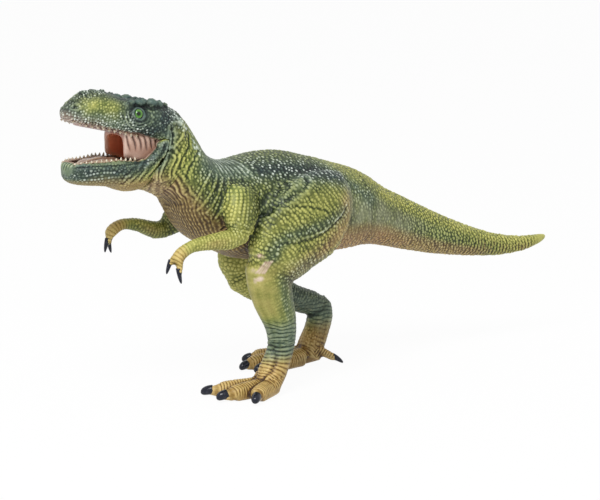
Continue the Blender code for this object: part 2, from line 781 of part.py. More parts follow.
def make_arm(name, sign, upper_shares, forearm_shares, finger_shares):
    upper = arm_rows(sign, upper_shares)
    forearm = arm_rows(sign, forearm_shares)
    elbow, wrist = Vector(forearm[0][:3]), Vector(forearm[-1][:3])
    arm = limb(name, upper, ARM_STEPS, LIMB_SIDES, tip=elbow - Vector((0, 0, forearm[0][3])))
    heel = elbow - (Vector(forearm[1][:3]) - elbow).normalized() * forearm[0][3]
    hand_end = wrist + (wrist - Vector(forearm[-2][:3])).normalized() * forearm[-1][3]
    combine(arm, limb("forearm", forearm, ARM_STEPS, LIMB_SIDES, start=heel, tip=hand_end))
    for root, knuckle, tip in finger_shares:
        root, knuckle, tip = (arm_place(sign, *shares) for shares in (root, knuckle, tip))
        slim = FINGER_RADIUS * KNUCKLE_SHARE
        rows = [(*root, FINGER_RADIUS, FINGER_RADIUS), (*knuckle, slim, slim)]
        end = knuckle + (knuckle - root).normalized() * FINGER_RADIUS * FINGER_END_SHARE
        combine(arm, limb("finger", rows, ARM_STEPS, CLAW_SIDES, tip=end))
        combine(arm, claw("claw", knuckle, tip, HAND_CLAW_RADIUS, HAND_CLAW_SAG))
    shoulder = Vector(upper[1][:3])
    inner = shoulder - SIDE * sign * (upper[1][4] + ARM_PEG_LENGTH)
    return combine(arm, rod("arm_peg", shoulder, inner, ARM_PEG_RADIUS))


# Legs: shares of the stride, the hip's height, half the stance, half the thigh's depth
# and half the leg's width
LEFT_THIGH_SHARES = (
    # forward, height, out, half depth, half width
    (-0.092, 1.110, 0.952, 0.417, 0.60),
    (-0.017, 1.052, 1.048, 0.667, 0.85),
    (0.131, 0.965, 1.119, 0.870, 1.00),
    (0.274, 0.910, 1.143, 0.884, 1.02),
    (0.400, 0.836, 1.143, 0.800, 0.98),
    (0.519, 0.755, 1.133, 0.685, 0.92),
    (0.613, 0.695, 1.105, 0.479, 0.78),
)
LEFT_SHIN_SHARES = (
    (0.592, 0.733, 1.095, 0.458, 0.80),
    (0.563, 0.628, 1.095, 0.480, 0.82),
    (0.524, 0.523, 1.071, 0.420, 0.76),
    (0.452, 0.407, 1.024, 0.350, 0.66),
    (0.425, 0.314, 0.990, 0.305, 0.60),
    (0.440, 0.227, 0.976, 0.283, 0.58),
    (0.500, 0.134, 0.967, 0.292, 0.66),
    (0.560, 0.070, 0.967, 0.270, 0.78),
)
RIGHT_THIGH_SHARES = (
    (-0.100, 1.105, 0.952, 0.417, 0.60),
    (-0.050, 1.047, 1.048, 0.667, 0.85),
    (0.017, 0.942, 1.119, 0.875, 1.00),
    (0.083, 0.837, 1.143, 0.875, 1.02),
    (0.162, 0.733, 1.143, 0.820, 0.98),
    (0.242, 0.640, 1.119, 0.720, 0.92),
    (0.305, 0.558, 1.095, 0.540, 0.78),
)
RIGHT_SHIN_SHARES = (
    (0.302, 0.594, 1.071, 0.440, 0.75),
    (0.150, 0.523, 1.095, 0.438, 0.80),
    (-0.017, 0.448, 1.095, 0.354, 0.72),
    (-0.200, 0.390, 1.071, 0.275, 0.62),
    (-0.367, 0.349, 1.057, 0.258, 0.56),
    (-0.467, 0.320, 1.048, 0.208, 0.46),
)
RIGHT_SHANK_SHARES = (
    (-0.492, 0.349, 1.048, 0.188, 0.42),
    (-0.467, 0.279, 1.048, 0.300, 0.56),
    (-0.417, 0.186, 1.024, 0.292, 0.58),
    (-0.365, 0.112, 1.000, 0.290, 0.66),
    (-0.325, 0.047, 0.990, 0.255, 0.76),
)
LEG_STEPS = 2
LEG_END_SHARE = 0.7
# Toes: shares of the stride forward and of half the stance out, for the root, the tip and the claw's tip
LEFT_TOE_SHARES = (
    ((0.540, 0.950), (0.900, 0.540), (1.000, 0.290)),
    ((0.540, 0.980), (0.895, 1.010), (1.005, 0.940)),
    ((0.520, 1.010), (0.765, 1.440), (0.845, 1.680)),
)
RIGHT_TOE_SHARES = (
    ((-0.240, 0.920), (0.150, 0.740), (0.245, 0.760)),
    ((-0.230, 1.020), (0.190, 1.210), (0.285, 1.170)),
    ((-0.250, 1.120), (0.020, 1.720), (0.095, 1.870)),
)
TOE_HEIGHT = 0.0102
TOE_WIDTH = 0.0098
TOE_SHARES = ((0.00, 1.00), (0.50, 0.90), (0.90, 0.82), (1.00, 0.60))
TOE_END_SHARE = 0.45
TOE_CLAW_RADIUS = 0.0023
TOE_CLAW_SAG = 0.0008
TOE_CLAW_TIP_HEIGHT = 0.0014
# Inner toes at the back of each foot: forward, height and out for the root, the tip and the claw's tip
LEFT_SPUR_SHARES = ((0.458, 0.128, 0.75), (0.400, 0.060, 0.50), (0.383, 0.016, 0.43))
RIGHT_SPUR_SHARES = ((-0.365, 0.095, 0.80), (-0.485, 0.043, 0.58), (-0.555, 0.010, 0.50))
SPUR_RADIUS = 0.0028
SPUR_TIP_SHARE = 0.7
SPUR_END_SHARE = 0.5
SPUR_CLAW_RADIUS = 0.0014
SOLE_SINK = 0.0006


def leg_place(sign, forward, height, out):
    """A place on a leg in metres, from the floor under the hips."""
    return Vector((-forward * STRIDE, sign * out * STANCE_WIDTH / 2, height * HIP_HEIGHT))


def leg_rows(sign, table):
    rows = []
    for forward, height, out, depth, width in table:
        place = leg_place(sign, forward, height, out)
        rows.append((*place, depth * THIGH_DEPTH / 2, width * LEG_WIDTH / 2))
    return rows


def capped_limb(name, rows, sides=LIMB_SIDES):
    """A limb with both ends rounded off by the thickness that it has there."""
    first, second = Vector(rows[0][:3]), Vector(rows[1][:3])
    last, before = Vector(rows[-1][:3]), Vector(rows[-2][:3])
    start = first + (first - second).normalized() * rows[0][3] * LEG_END_SHARE
    tip = last + (last - before).normalized() * rows[-1][3] * LEG_END_SHARE
    return limb(name, rows, LEG_STEPS, sides, start=start, tip=tip)


def toe(sign, root, tip, claw_tip):
    """A toe with its claw, lying on the floor."""
    half_height, half_width = TOE_HEIGHT / 2, TOE_WIDTH / 2
    root, tip = leg_place(sign, root[0], 0, root[1]), leg_place(sign, tip[0], 0, tip[1])
    rows = []
    for along, share in TOE_SHARES:
        place = root.lerp(tip, along)
        height = half_height * share - SOLE_SINK
        rows.append((place.x, place.y, height, half_height * share, half_width * share))
    end = tip + (tip - root).normalized() * half_width * TOE_END_SHARE + Vector((0, 0, rows[-1][2]))
    digit = limb("toe", rows, LEG_STEPS, DIGIT_SIDES, tip=end)
    nail_root = tip + Vector((0, 0, rows[-1][2]))
    nail_tip = leg_place(sign, claw_tip[0], 0, claw_tip[1]) + Vector((0, 0, TOE_CLAW_TIP_HEIGHT))
    return combine(digit, claw("claw", nail_root, nail_tip, TOE_CLAW_RADIUS, TOE_CLAW_SAG))


def spur(sign, root, tip, claw_tip):
    """The small inner toe with its claw."""
    root, tip, claw_tip = (leg_place(sign, *shares) for shares in (root, tip, claw_tip))
    slim = SPUR_RADIUS * SPUR_TIP_SHARE
    rows = [(*root, SPUR_RADIUS, SPUR_RADIUS), (*tip, slim, slim)]
    end = tip + (tip - root).normalized() * SPUR_RADIUS * SPUR_END_SHARE
    digit = limb("spur", rows, LEG_STEPS, CLAW_SIDES, tip=end)
    return combine(digit, claw("claw", tip, claw_tip, SPUR_CLAW_RADIUS, 0))


def make_leg(name, sign, segments, toes, spur_shares):
    """A leg from its lofted segments, thigh first, with toes, inner toe and peg, cut flat at the sole."""
    thigh = leg_rows(sign, segments[0])
    leg = capped_limb(name, thigh)
    for table in segments[1:]:
        combine(leg, capped_limb("segment", leg_rows(sign, table)))
    for shares in toes:
        combine(leg, toe(sign, *shares))
    combine(leg, spur(sign, *spur_shares))
    hip = Vector(thigh[2][:3])
    inner = hip - SIDE * sign * (thigh[2][4] + LEG_PEG_LENGTH)
    combine(leg, rod("leg_peg", hip, inner, LEG_PEG_RADIUS))
    body = bmesh.new()
    reach = STRIDE + STANCE_WIDTH
    place = Matrix.Translation((0, 0, -reach)) @ Matrix.Diagonal((2 * reach, 2 * reach, 2 * reach, 1))
    bmesh.ops.create_cube(body, size=1, matrix=place)
    return combine(leg, new_object("floor", body), "DIFFERENCE")


def hang(obj, parent, origin):
    """Moves the object's origin to a point and hangs it on a parent that stands there or at the middle."""
    obj.data.transform(Matrix.Translation(-origin))
    obj.parent = parent
    obj.location = origin - parent_place(parent)


def parent_place(parent):
    place = parent.location.copy()
    return place + parent_place(parent.parent) if parent.parent else place


def empty(name, place, parent=None):
    obj = bpy.data.objects.new(name, None)
    bpy.context.scene.collection.objects.link(obj)
    obj.parent = parent
    obj.location = place
    return obj


def centre_on_floor(root, pieces):
    """Moves the whole figure so that its box stands centred on the origin."""
    bpy.context.view_layer.update()
    points = [piece.matrix_world @ vertex.co for piece in pieces for vertex in piece.data.vertices]
    for axis in (0, 1):
        values = [point[axis] for point in points]
        root.location[axis] -= (min(values) + max(values)) / 2
    root.location.z -= min(point.z for point in points)


def build():
    clear_scene()
    skin = plastic("green_skin", (0.30, 0.38, 0.10), 0.45)
    crest = plastic("teal_skin", (0.10, 0.22, 0.20), 0.45)
    pink = plastic("mouth_pink", (0.62, 0.16, 0.10), 0.40)
    steel = plastic("pin_steel", (0.55, 0.55, 0.56), 0.35, 1.0)
    torso = make_torso()
    tail = make_tail()
    pin = make_jaw_pin()
    jaw = make_lower_jaw(pin)
    tongue = make_tongue()
    lining = make_mouth_lining()
    head = make_head()
    combine(lining, jaw_path_block(), "DIFFERENCE")
    combine(head, jaw_path_block(), "DIFFERENCE")
    seat(head, lining)
    seat(head, pin, SEAM_GAP)
    left_arm = make_arm("left_arm", -1, LEFT_UPPER_ARM_SHARES, LEFT_FOREARM_SHARES, LEFT_FINGER_SHARES)
    right_arm = make_arm("right_arm", 1, RIGHT_UPPER_ARM_SHARES, RIGHT_FOREARM_SHARES, RIGHT_FINGER_SHARES)
    left_segments = (LEFT_THIGH_SHARES, LEFT_SHIN_SHARES)
    right_segments = (RIGHT_THIGH_SHARES, RIGHT_SHIN_SHARES, RIGHT_SHANK_SHARES)
    left_leg = make_leg("left_leg", -1, left_segments, LEFT_TOE_SHARES, LEFT_SPUR_SHARES)
    right_leg = make_leg("right_leg", 1, right_segments, RIGHT_TOE_SHARES, RIGHT_SPUR_SHARES)
    for piece in (left_arm, right_arm, left_leg, right_leg):
        seat(torso, piece)
    materials = {torso: skin, head: crest, jaw: crest, tongue: pink, lining: pink, pin: steel}
    root = empty("figure", (0, 0, 0))
    hinge = empty("jaw_hinge", hinge_point(), root)
    pieces = (torso, head, lining, jaw, tongue, pin, tail, left_arm, right_arm, left_leg, right_leg)
    for piece in pieces:
        drop_flakes(piece)
        finish(piece, materials.get(piece, skin))
        if piece in (jaw, tongue):
            hang(piece, hinge, hinge_point())
        elif piece is pin:
            hang(piece, root, hinge_point())
        else:
            hang(piece, root, Vector((0, 0, 0)))
    centre_on_floor(root, pieces)


build()
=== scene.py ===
import json
import math

import bmesh
import bpy
import numpy as np
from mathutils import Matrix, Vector
from mathutils.bvhtree import BVHTree
from mathutils.kdtree import KDTree


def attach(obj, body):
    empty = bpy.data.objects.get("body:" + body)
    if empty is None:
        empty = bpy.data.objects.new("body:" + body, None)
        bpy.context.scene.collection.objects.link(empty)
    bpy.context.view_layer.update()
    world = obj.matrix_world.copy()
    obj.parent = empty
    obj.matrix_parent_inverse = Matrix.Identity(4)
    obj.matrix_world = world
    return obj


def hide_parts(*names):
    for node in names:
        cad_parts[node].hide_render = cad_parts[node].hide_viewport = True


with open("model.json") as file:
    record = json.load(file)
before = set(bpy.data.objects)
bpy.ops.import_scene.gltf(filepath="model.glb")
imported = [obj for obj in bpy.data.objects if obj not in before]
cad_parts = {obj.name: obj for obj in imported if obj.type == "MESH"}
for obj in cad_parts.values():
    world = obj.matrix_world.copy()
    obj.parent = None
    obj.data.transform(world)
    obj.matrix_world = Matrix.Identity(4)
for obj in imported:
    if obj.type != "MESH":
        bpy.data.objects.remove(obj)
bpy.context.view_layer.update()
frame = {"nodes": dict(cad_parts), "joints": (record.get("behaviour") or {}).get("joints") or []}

# Skin of the figure
# The torso, head, tail, arms and legs are solid PVC mouldings, glued at their pegs with the seams smoothed
# over, so their skin is formed as one surface here, and it is parted into its mouldings again once painted.
# Places below are in millimetres: x runs back from the hips, y to the figure's far side, z up from the floor.
SKIN_PIECES = ("torso", "head", "tail", "left_arm", "right_arm", "left_leg", "right_leg")
SKIN_VOXEL = 0.0004
SEAM_BRIDGE = 0.00028
HINGE_PLACE = (-0.083, 0, 0.117)

hips = np.array(Vector(frame["joints"][0]["pos_m"]) - Vector(HINGE_PLACE))


def cad_faces(names):
    """The vertices of these CAD nodes in millimetres, their faces, and which node each face is of."""
    corners, faces, owners = [], [], []
    for owner, name in enumerate(names):
        mesh = frame["nodes"][name].data
        co = np.empty(len(mesh.vertices) * 3, np.float32)
        mesh.vertices.foreach_get("co", co)
        start = sum(map(len, corners))
        corners.append((co.reshape(-1, 3) - hips) * 1000)
        for polygon in mesh.polygons:
            faces.append(tuple(start + v for v in polygon.vertices))
            owners.append(owner)
    return np.concatenate(corners), faces, np.array(owners)


def add_plate(joined, outline, thick):
    """Adds a plate of skin on each side. Its outline gives x, z and how far out from the middle it stands."""
    for sign in (-1, 1):
        rings = [
            [
                joined.verts.new(hips + np.array((px, sign * (side - inward), pz)) / 1000)
                for px, pz, side in outline
            ]
            for inward in (thick, 0)
        ]
        joined.faces.new(rings[0] if sign > 0 else rings[0][::-1])
        joined.faces.new(rings[1][::-1] if sign > 0 else rings[1])
        for i in range(len(outline)):
            j = (i + 1) % len(outline)
            face = (rings[0][i], rings[1][i], rings[1][j], rings[0][j])
            joined.faces.new(face if sign > 0 else face[::-1])
    bmesh.ops.recalc_face_normals(joined, faces=joined.faces)


def welded_copy(names, bridge, plates=(), knobs=()):
    """CAD nodes in one mesh, grown by the bridge so that glued seams meet, with plates and round knobs added."""
    joined = bmesh.new()
    for place, radius in knobs:
        knob = bmesh.ops.create_icosphere(joined, subdivisions=3, radius=radius / 1000)
        for vertex in knob["verts"]:
            vertex.co = vertex.co + Vector(np.array(place) / 1000 + hips)
    for plate in plates:
        add_plate(joined, *plate)
    for name in names:
        piece = bmesh.new()
        piece.from_mesh(frame["nodes"][name].data)
        bmesh.ops.remove_doubles(piece, verts=piece.verts, dist=0.000002)
        piece.normal_update()
        steps = [vertex.normal * bridge for vertex in piece.verts]
        for vertex, step in zip(piece.verts, steps):
            vertex.co += step
        held = bpy.data.meshes.new("held")
        piece.to_mesh(held)
        joined.from_mesh(held)
        bpy.data.meshes.remove(held)
        piece.free()
    mesh = bpy.data.meshes.new("welded")
    joined.to_mesh(mesh)
    joined.free()
    return mesh


def remeshed(mesh, voxel):
    """The outer skin of a mesh as even quads of about this size."""
    obj = bpy.data.objects.new("remeshed", mesh)
    bpy.context.scene.collection.objects.link(obj)
    modifier = obj.modifiers.new("Remesh", "REMESH")
    modifier.mode = "VOXEL"
    modifier.voxel_size = voxel
    modifier.adaptivity = 0
    graph = bpy.context.evaluated_depsgraph_get()
    even = bpy.data.meshes.new_from_object(obj.evaluated_get(graph))
    bpy.data.objects.remove(obj)
    return even


def eased(line):
    """The line through the places as a smooth curve."""
    line = np.array(line, float)
    if len(line) < 3:
        return line
    padded = np.concatenate([[2 * line[0] - line[1]], line, [2 * line[-1] - line[-2]]])
    out = []
    for a, b, c, d in zip(padded, padded[1:], padded[2:], padded[3:]):
        for t in np.linspace(0, 1, 5)[:-1]:
            out.append(b + 0.5 * t * (c - a + t * (2 * a - 5 * b + 4 * c - d + t * (3 * (b - c) + d - a))))
    return np.array(out + [line[-1]])


def ramp(value, low, high):
    """0 below low, 1 above high, and a soft step between them."""
    t = np.clip((value - low) / (high - low), 0, 1)
    return t * t * (3 - 2 * t)


def between(value, start, full, last, end):
    """1 from full to last, and 0 below start and above end."""
    return ramp(value, start, full) * ramp(value, end, last)


def fade(gap, width, power=2):
    """1 where the gap is nothing, falling off over this width."""
    return np.exp(-(gap / width) ** power)


def ridges(run, pitch):
    """Waves from -1 to 1 along a run, a pitch apart."""
    return np.cos(2 * math.pi * run / pitch)


class Skin:
    """A moulding's surface: its points in millimetres, its quads, relief heights and paint layers."""

    def __init__(self, mesh):
        count = len(mesh.vertices)
        co = np.empty(count * 3, np.float32)
        mesh.vertices.foreach_get("co", co)
        self.points = (co.reshape(-1, 3) - hips) * 1000
        quads = np.empty(len(mesh.loops), np.int32)
        mesh.loops.foreach_get("vertex_index", quads)
        self.quads = quads.reshape(-1, 4)
        edges = np.empty(len(mesh.edges) * 2, np.int32)
        mesh.edges.foreach_get("vertices", edges)
        bpy.data.meshes.remove(mesh)
        edges = edges.reshape(-1, 2)
        self.link(edges, count)
        self.keep_largest(edges, count)
        self.height = np.zeros(len(self.points))
        self.paint = {}
        self.sway = 0.0

    def link(self, edges, count):
        """Lists every point's neighbours."""
        a, b = edges.T
        ends = np.concatenate([a, b])
        order = np.argsort(ends, kind="stable")
        self.near = np.concatenate([b, a])[order]
        self.degree = np.bincount(ends, minlength=count)
        self.first = np.cumsum(self.degree) - self.degree

    def keep_largest(self, edges, count):
        """Drops the closed hollows inside, and keeps the outer skin."""
        body = np.arange(count)
        while True:
            lower = np.minimum(body, np.minimum.reduceat(body[self.near], self.first))
            lower = lower[lower]
            if (lower == body).all():
                break
            body = lower
        keep = body == np.bincount(body).argmax()
        place = np.cumsum(keep) - 1
        self.points = self.points[keep]
        self.quads = place[self.quads[keep[self.quads[:, 0]]]]
        self.link(place[edges[keep[edges[:, 0]]]], int(keep.sum()))

    def spread(self, values, rounds, share=1.0):
        """Values averaged with their neighbours', a number of times."""
        degree = self.degree.reshape((-1,) + (1,) * (values.ndim - 1))
        share = np.asarray(share)
        share = share.reshape(share.shape + (1,) * (values.ndim - share.ndim)) if share.ndim else share
        for _ in range(rounds):
            mean = np.add.reduceat(values[self.near], self.first) / degree
            values = values + share * (mean - values)
        return values

    def relax(self, rounds, share):
        """Rounds the form off, and puts back the size that it loses by that."""
        smooth = self.spread(self.points, rounds, share)
        self.points = smooth + self.spread(self.points - smooth, rounds, share)

    def facing(self):
        """The direction that each point faces."""
        p = self.points
        total = np.zeros((len(p), 3))
        across = np.cross(p[self.quads[:, 2]] - p[self.quads[:, 0]], p[self.quads[:, 3]] - p[self.quads[:, 1]])
        for corner in range(4):
            for axis in range(3):
                total[:, axis] += np.bincount(self.quads[:, corner], across[:, axis], len(p))
        return total / np.maximum(np.linalg.norm(total, axis=1), 1e-9)[:, None]

    def raise_skin(self):
        """Moves the skin out by its heights, and starts them again at nothing."""
        self.points = self.points + self.facing() * self.height[:, None]
        self.height = np.zeros(len(self.points))

    def gap_to(self, line, reach):
        """How far each point is from a line, seen from the side or in space, and how far along it."""
        line = eased(line)
        places = self.points + self.sway
        places = places[:, [0, 2]] if line.shape[1] == 2 else places
        near = ((places > line.min(0) - reach) & (places < line.max(0) + reach)).all(1).nonzero()[0]
        gap, along = np.full(len(places), 1e3), np.zeros(len(places))
        q, best, where, start = places[near], np.full(len(near), 1e3), np.zeros(len(near)), 0.0
        for a, b in zip(line, line[1:]):
            step = b - a
            length = np.linalg.norm(step)
            t = np.clip((q - a) @ step / length ** 2, 0, 1)
            distance = np.linalg.norm(q - a - t[:, None] * step, axis=1)
            closer = distance < best
            best[closer], where[closer] = distance[closer], start + t[closer] * length
            start += length
        gap[near], along[near] = best, where
        return gap, along

    def brush(self, line, width):
        """1 on a line, fading out over its width."""
        return fade(self.gap_to(line, 3 * width)[0], width)

    def fold(self, line, width, depth, lip=0.4):
        """Presses a crease into the skin, with a raised lip on both sides of it."""
        gap = self.gap_to(line, 5 * width)[0]
        self.height -= depth * fade(gap, width)
        self.height += lip * depth * fade(gap - 2.1 * width, 1.1 * width)


def piece_of(points, names):
    """Which CAD node each point is nearest to, as an index into the names."""
    corners, faces, owners = cad_faces(names)
    tree = BVHTree.FromPolygons(corners.tolist(), faces)
    return np.array([owners[tree.find_nearest(place)[2]] for place in points.tolist()])


# The skin behind the corner of the mouth, under which the ears of the jaw turn
CHEEK_OUTLINE = (
    (-81.0, 124.6, 15.2), (-81.3, 120.8, 15.2), (-82.4, 116.0, 15.2), (-84.6, 112.2, 15.1), (-87.9, 109.0, 14.8),
    (-90.2, 106.2, 13.7), (-89.8, 103.8, 12.4), (-84.0, 101.5, 12.8), (-77.0, 104.0, 14.4), (-72.5, 112.0, 15.2),
    (-73.0, 121.0, 15.2), (-76.0, 124.5, 15.2),
)
CHEEK_THICK = 2.0
# The round ends of the toes, which hold the claws
TOE_ENDS = (
    ((-55.4, -10.1, 3.4), 2.8), ((-55.6, -20.9, 3.4), 2.8), ((-47.1, -31.8, 3.4), 2.8),
    ((-10.6, 15.8, 3.2), 2.6), ((-12.9, 25.0, 3.2), 2.6), ((-2.1, 36.8, 3.2), 2.6),
)
# Places of -x and z on the edge of the upper lip
LIP_EDGE = (
    (83, 119.8), (91, 122.2), (96, 123.6), (102, 125.0), (109, 126.8), (116, 128.4), (122, 129.8),
    (125.4, 131.2),
)
welded = welded_copy(SKIN_PIECES, SEAM_BRIDGE, [(CHEEK_OUTLINE, CHEEK_THICK)], TOE_ENDS)
skin = Skin(remeshed(welded, SKIN_VOXEL))
x, y, z = skin.points.T
owner = piece_of(skin.points, SKIN_PIECES)
shares = skin.spread((owner[:, None] == np.arange(len(SKIN_PIECES))).astype(np.float32), 8)
owner = shares.argmax(1)
of = {name: owner == i for i, name in enumerate(SKIN_PIECES)}
legs, arms = of["left_leg"] | of["right_leg"], of["left_arm"] | of["right_arm"]

# Broad forms: big soft masses and seams are rounded the most, and the head, hands and feet the least
ease = np.where(of["head"], 0.12, 0.8)
ease = np.where(of["tail"], 0.8 - 0.6 * ramp(x, 130, 150), ease)
ease = np.where(legs, 0.15 + 0.65 * ramp(z, 35, 70), ease)
ease = np.where(arms, 0.25 + 0.4 * ramp(z, 70, 85), ease)
seam = skin.spread((shares.max(1) < 0.98).astype(np.float32), 14)
ease = np.clip(skin.spread(ease, 12) + 0.6 * seam * (x > -68), 0.05, 0.9)
mouth_roof = of["head"] & (z < np.interp(-x, *zip(*LIP_EDGE)) + 0.4) & (x < -85)
skin.relax(90, np.where(mouth_roof, 0.85, ease))
limb_seam = (shares.max(1) < 0.9).astype(np.float32) * (legs | arms | of["torso"]) * (z > 76)
skin.relax(70, np.clip(3.5 * skin.spread(limb_seam, 90), 0, 0.95) * ramp(z, 80, 88))
skin.height[:] = -SEAM_BRIDGE * 1000
skin.raise_skin()

# Scales
# Every moulding has pebbled scales in rows round the body, cut into the mould. They are largest on the thighs
# and flanks, and finer on the back and towards the head, arms, shins and the end of the tail.
inside = BVHTree.FromPolygons(skin.points.tolist(), skin.quads.tolist())
# The middle line of each moulding with the pitch of its rows, from places of x, y, z and pitch
ROW_LINES = {
    "torso": ((-72, 0, 96, 1.5), (-55, 0, 89, 1.7), (-30, 0, 86, 1.8), (0, 0, 83, 1.8), (28, 0, 80, 1.7)),
    "tail": ((26, 0, 79, 1.6), (60, 0, 65, 1.6), (90, 0, 56, 1.7), (120, 0, 51, 1.6), (151, 0, 52, 1.3)),
    "head": ((-66, 0, 104, 1.4), (-82, 0, 115, 1.3), (-100, 0, 131, 1.15), (-125, 0, 134, 1.1)),
    "left_arm": ((-52, -26, 81, 1.4), (-56, -27, 77, 1.4), (-82, -27, 75, 1.2)),
    "right_arm": ((-46, 18, 97, 1.5), (-54, 23, 80, 1.5), (-64, 24, 73, 1.4), (-88, 22, 77, 1.2)),
    "left_leg": (
        (4, -20, 94, 1.7), (-16, -23, 78, 1.9), (-36, -23, 60, 1.7), (-28, -21, 34, 1.4), (-27, -20, 22, 1.3),
    ),
    "right_leg": ((4, 20, 94, 1.7), (-8, 24, 66, 1.9), (-14, 23, 50, 1.7), (12, 23, 34, 1.4), (24, 22, 22, 1.3)),
}
# How far the rows lean against square to that line
ROW_LEANS = {"torso": 0.5, "tail": 0.8}
# Strung scales stand close in their row and their rows apart, in shares of the pitch; others stand evenly
BEAD_STEP, ROW_STEP, EVEN_STEP = 0.8, 1.15, 0.95
RIM_RAYS = 25
dice = np.random.default_rng(5)


def run_of(line):
    """How far along a line each of its places is."""
    return np.concatenate([[0], np.cumsum(np.linalg.norm(np.diff(line, axis=0), axis=1))])


def ring_seeds(tree, line, belongs, lean=0.0, strung=True):
    """Middles of scales in rows round one moulding, from rays that run out from its middle line."""
    line = eased(line)
    run = run_of(line[:, :3])
    seeds, here, row = [], 0.0, 0
    while here < run[-1]:
        *centre, pitch = [np.interp(here, run, line[:, k]) for k in range(4)]
        behind, before = (
            Vector([np.interp(here + step, run, line[:, k]) for k in range(3)]) for step in (-1, 1)
        )
        centre, ahead = Vector(centre), (before - behind).normalized()
        side = ahead.cross(Vector((0, 0, 1))).normalized() if abs(ahead.z) < 0.9 else Vector((0, 1, 0))
        up = (side.cross(ahead) - lean * ahead).normalized()
        ahead = up.cross(side)
        turns = np.linspace(0, 2 * math.pi, RIM_RAYS)
        hits = [tree.ray_cast(centre, side * math.cos(t) + up * math.sin(t))[0] for t in turns]
        rim = sum((b - a).length for a, b in zip(hits, hits[1:]) if a and b)
        count = max(int(rim / (pitch * (BEAD_STEP if strung else 1))), 6)
        for i in range(count):
            turn = 2 * math.pi * (i + (row % 2) / 2 + dice.normal(0, 0.2)) / count
            waver = dice.normal(0, 0.02)
            if strung:
                waver += 0.035 * (math.sin(3 * turn + 0.7 * row) + math.sin(7 * turn + 1.9 * row))
            hit = tree.ray_cast(centre, side * math.cos(turn) + up * math.sin(turn) + ahead * waver)
            if hit[0] and belongs(hit[2]):
                seeds.append((*hit[0], pitch * (1 + dice.normal(0, 0.15)), *(ahead * strung)))
        here += pitch * (ROW_STEP if strung else EVEN_STEP)
        row += 1
    return seeds


def bead_string(tree, line, pitch):
    """Middles of scales in a row on both sides, along a line seen from the side."""
    line = eased(line)
    run = run_of(line)
    seeds = []
    for here in np.arange(0, run[-1], pitch):
        px, pz, qx, qz = (np.interp(at, run, line[:, k]) for at in (here, here + 0.5) for k in (0, 1))
        course = np.array((qx - px, qz - pz))
        course /= max(np.linalg.norm(course), 1e-6)
        for sign in (-1, 1):
            hit = tree.ray_cast(Vector((px, 70 * sign, pz)), Vector((0, -sign, 0)))
            if hit[0]:
                seeds.append((*hit[0], pitch, -course[1], 0, course[0]))
    return seeds


def thinned(groups):
    """Keeps a scale only where none of an earlier place is too near; a group is (places, share of pitch)."""
    cell, grid, kept = 2.5, {}, []
    for places, share in groups:
        for place in places:
            key = tuple(int(math.floor(v / cell)) for v in place[:3])
            near = (share * place[3]) ** 2
            others = [
                other
                for i in (-1, 0, 1) for j in (-1, 0, 1) for k in (-1, 0, 1)
                for other in grid.get((key[0] + i, key[1] + j, key[2] + k), ())
            ]
            if all(sum((p - q) ** 2 for p, q in zip(place[:3], other)) >= near for other in others):
                grid.setdefault(key, []).append(place[:3])
                kept.append(place)
    return kept


def kd_tree(places):
    tree = KDTree(len(places))
    for i, place in enumerate(places):
        tree.insert(place[:3], i)
    tree.balance()
    return tree


def pebbles(form, groups, fill_pitch, tries):
    """Raises a scale about each seed, drawn together with the next in its row, and more on bare skin between."""
    kept = thinned(groups)
    known = kd_tree(kept)
    bare = []
    for i in dice.permutation(len(form.points))[:tries]:
        place = form.points[i].tolist()
        found, j, gap = known.find(place)
        pitch = kept[j][3] if gap < 8 else fill_pitch
        if gap > 0.95 * pitch:
            bare.append((*place, pitch, 0, 0, 0))
    seeds = np.array(thinned([(kept, 0), (bare, 0.8)]))
    tree = kd_tree(seeds)
    around = np.array([[found[1] for found in tree.find_n(place, 5)] for place in form.points.tolist()])
    offset = form.points[:, None] - seeds[around, :3]
    over = (offset * seeds[around, 4:]).sum(2)
    distance = np.sqrt(0.86 * (offset ** 2).sum(2) + 0.6 * over ** 2)
    order = distance.argsort(1)[:, :2]
    nearest, second = np.take_along_axis(around, order, 1).T
    one, two = np.take_along_axis(distance, order, 1).T
    pitch = seeds[nearest, 3]
    link = seeds[second, :3] - seeds[nearest, :3]
    row_share = np.abs((link * seeds[nearest, 4:]).sum(1)) / np.maximum(np.linalg.norm(link, axis=1), 1e-6)
    strung = np.abs(seeds[nearest, 4:]).sum(1) > 0
    joined = 0.7 * strung * ramp(row_share, 0.7, 0.35)
    apart = joined + (1 - joined) * ramp(two - one, 0, 0.45 * pitch)
    dome = np.clip(1 - (one / (0.60 * pitch)) ** 2, 0, 1) * apart
    return dome, pitch, dice.random(len(seeds))[nearest]


SHOULDER_ROWS = (
    ((-61.1, 105.4), (-65.2, 100.7), (-68.0, 94.8), (-69.6, 90.1)),
    ((-58.0, 103.7), (-61.4, 98.2), (-64.7, 93.2), (-67.5, 88.6)),
    ((-55.1, 102.0), (-58.2, 97.3), (-61.2, 92.3), (-64.2, 87.1)),
    ((-51.7, 101.6), (-55.1, 96.4), (-57.3, 90.6), (-60.1, 85.4)),
)
ARM_LINE = ((-51.0, 101.5), (-52.4, 96.0), (-54.9, 89.5), (-57.6, 82.0))
ARM_ROW_SHIFTS = (-5.6, -3.7, -1.8, 0.1, 2.0, 3.9, 5.8)
ARM_ROWS = [[(px + shift, pz) for px, pz in ARM_LINE] for shift in ARM_ROW_SHIFTS]
LIP_ROW = ((-126.6, 132.0), (-122.0, 129.9), (-117.0, 128.9), (-111.0, 127.6), (-104.5, 126.0), (-98.5, 124.2))
FILL_PITCH, FILL_TRIES = 1.7, 60000
groups = [(bead_string(inside, line, 1.9), 0.8) for line in SHOULDER_ROWS]
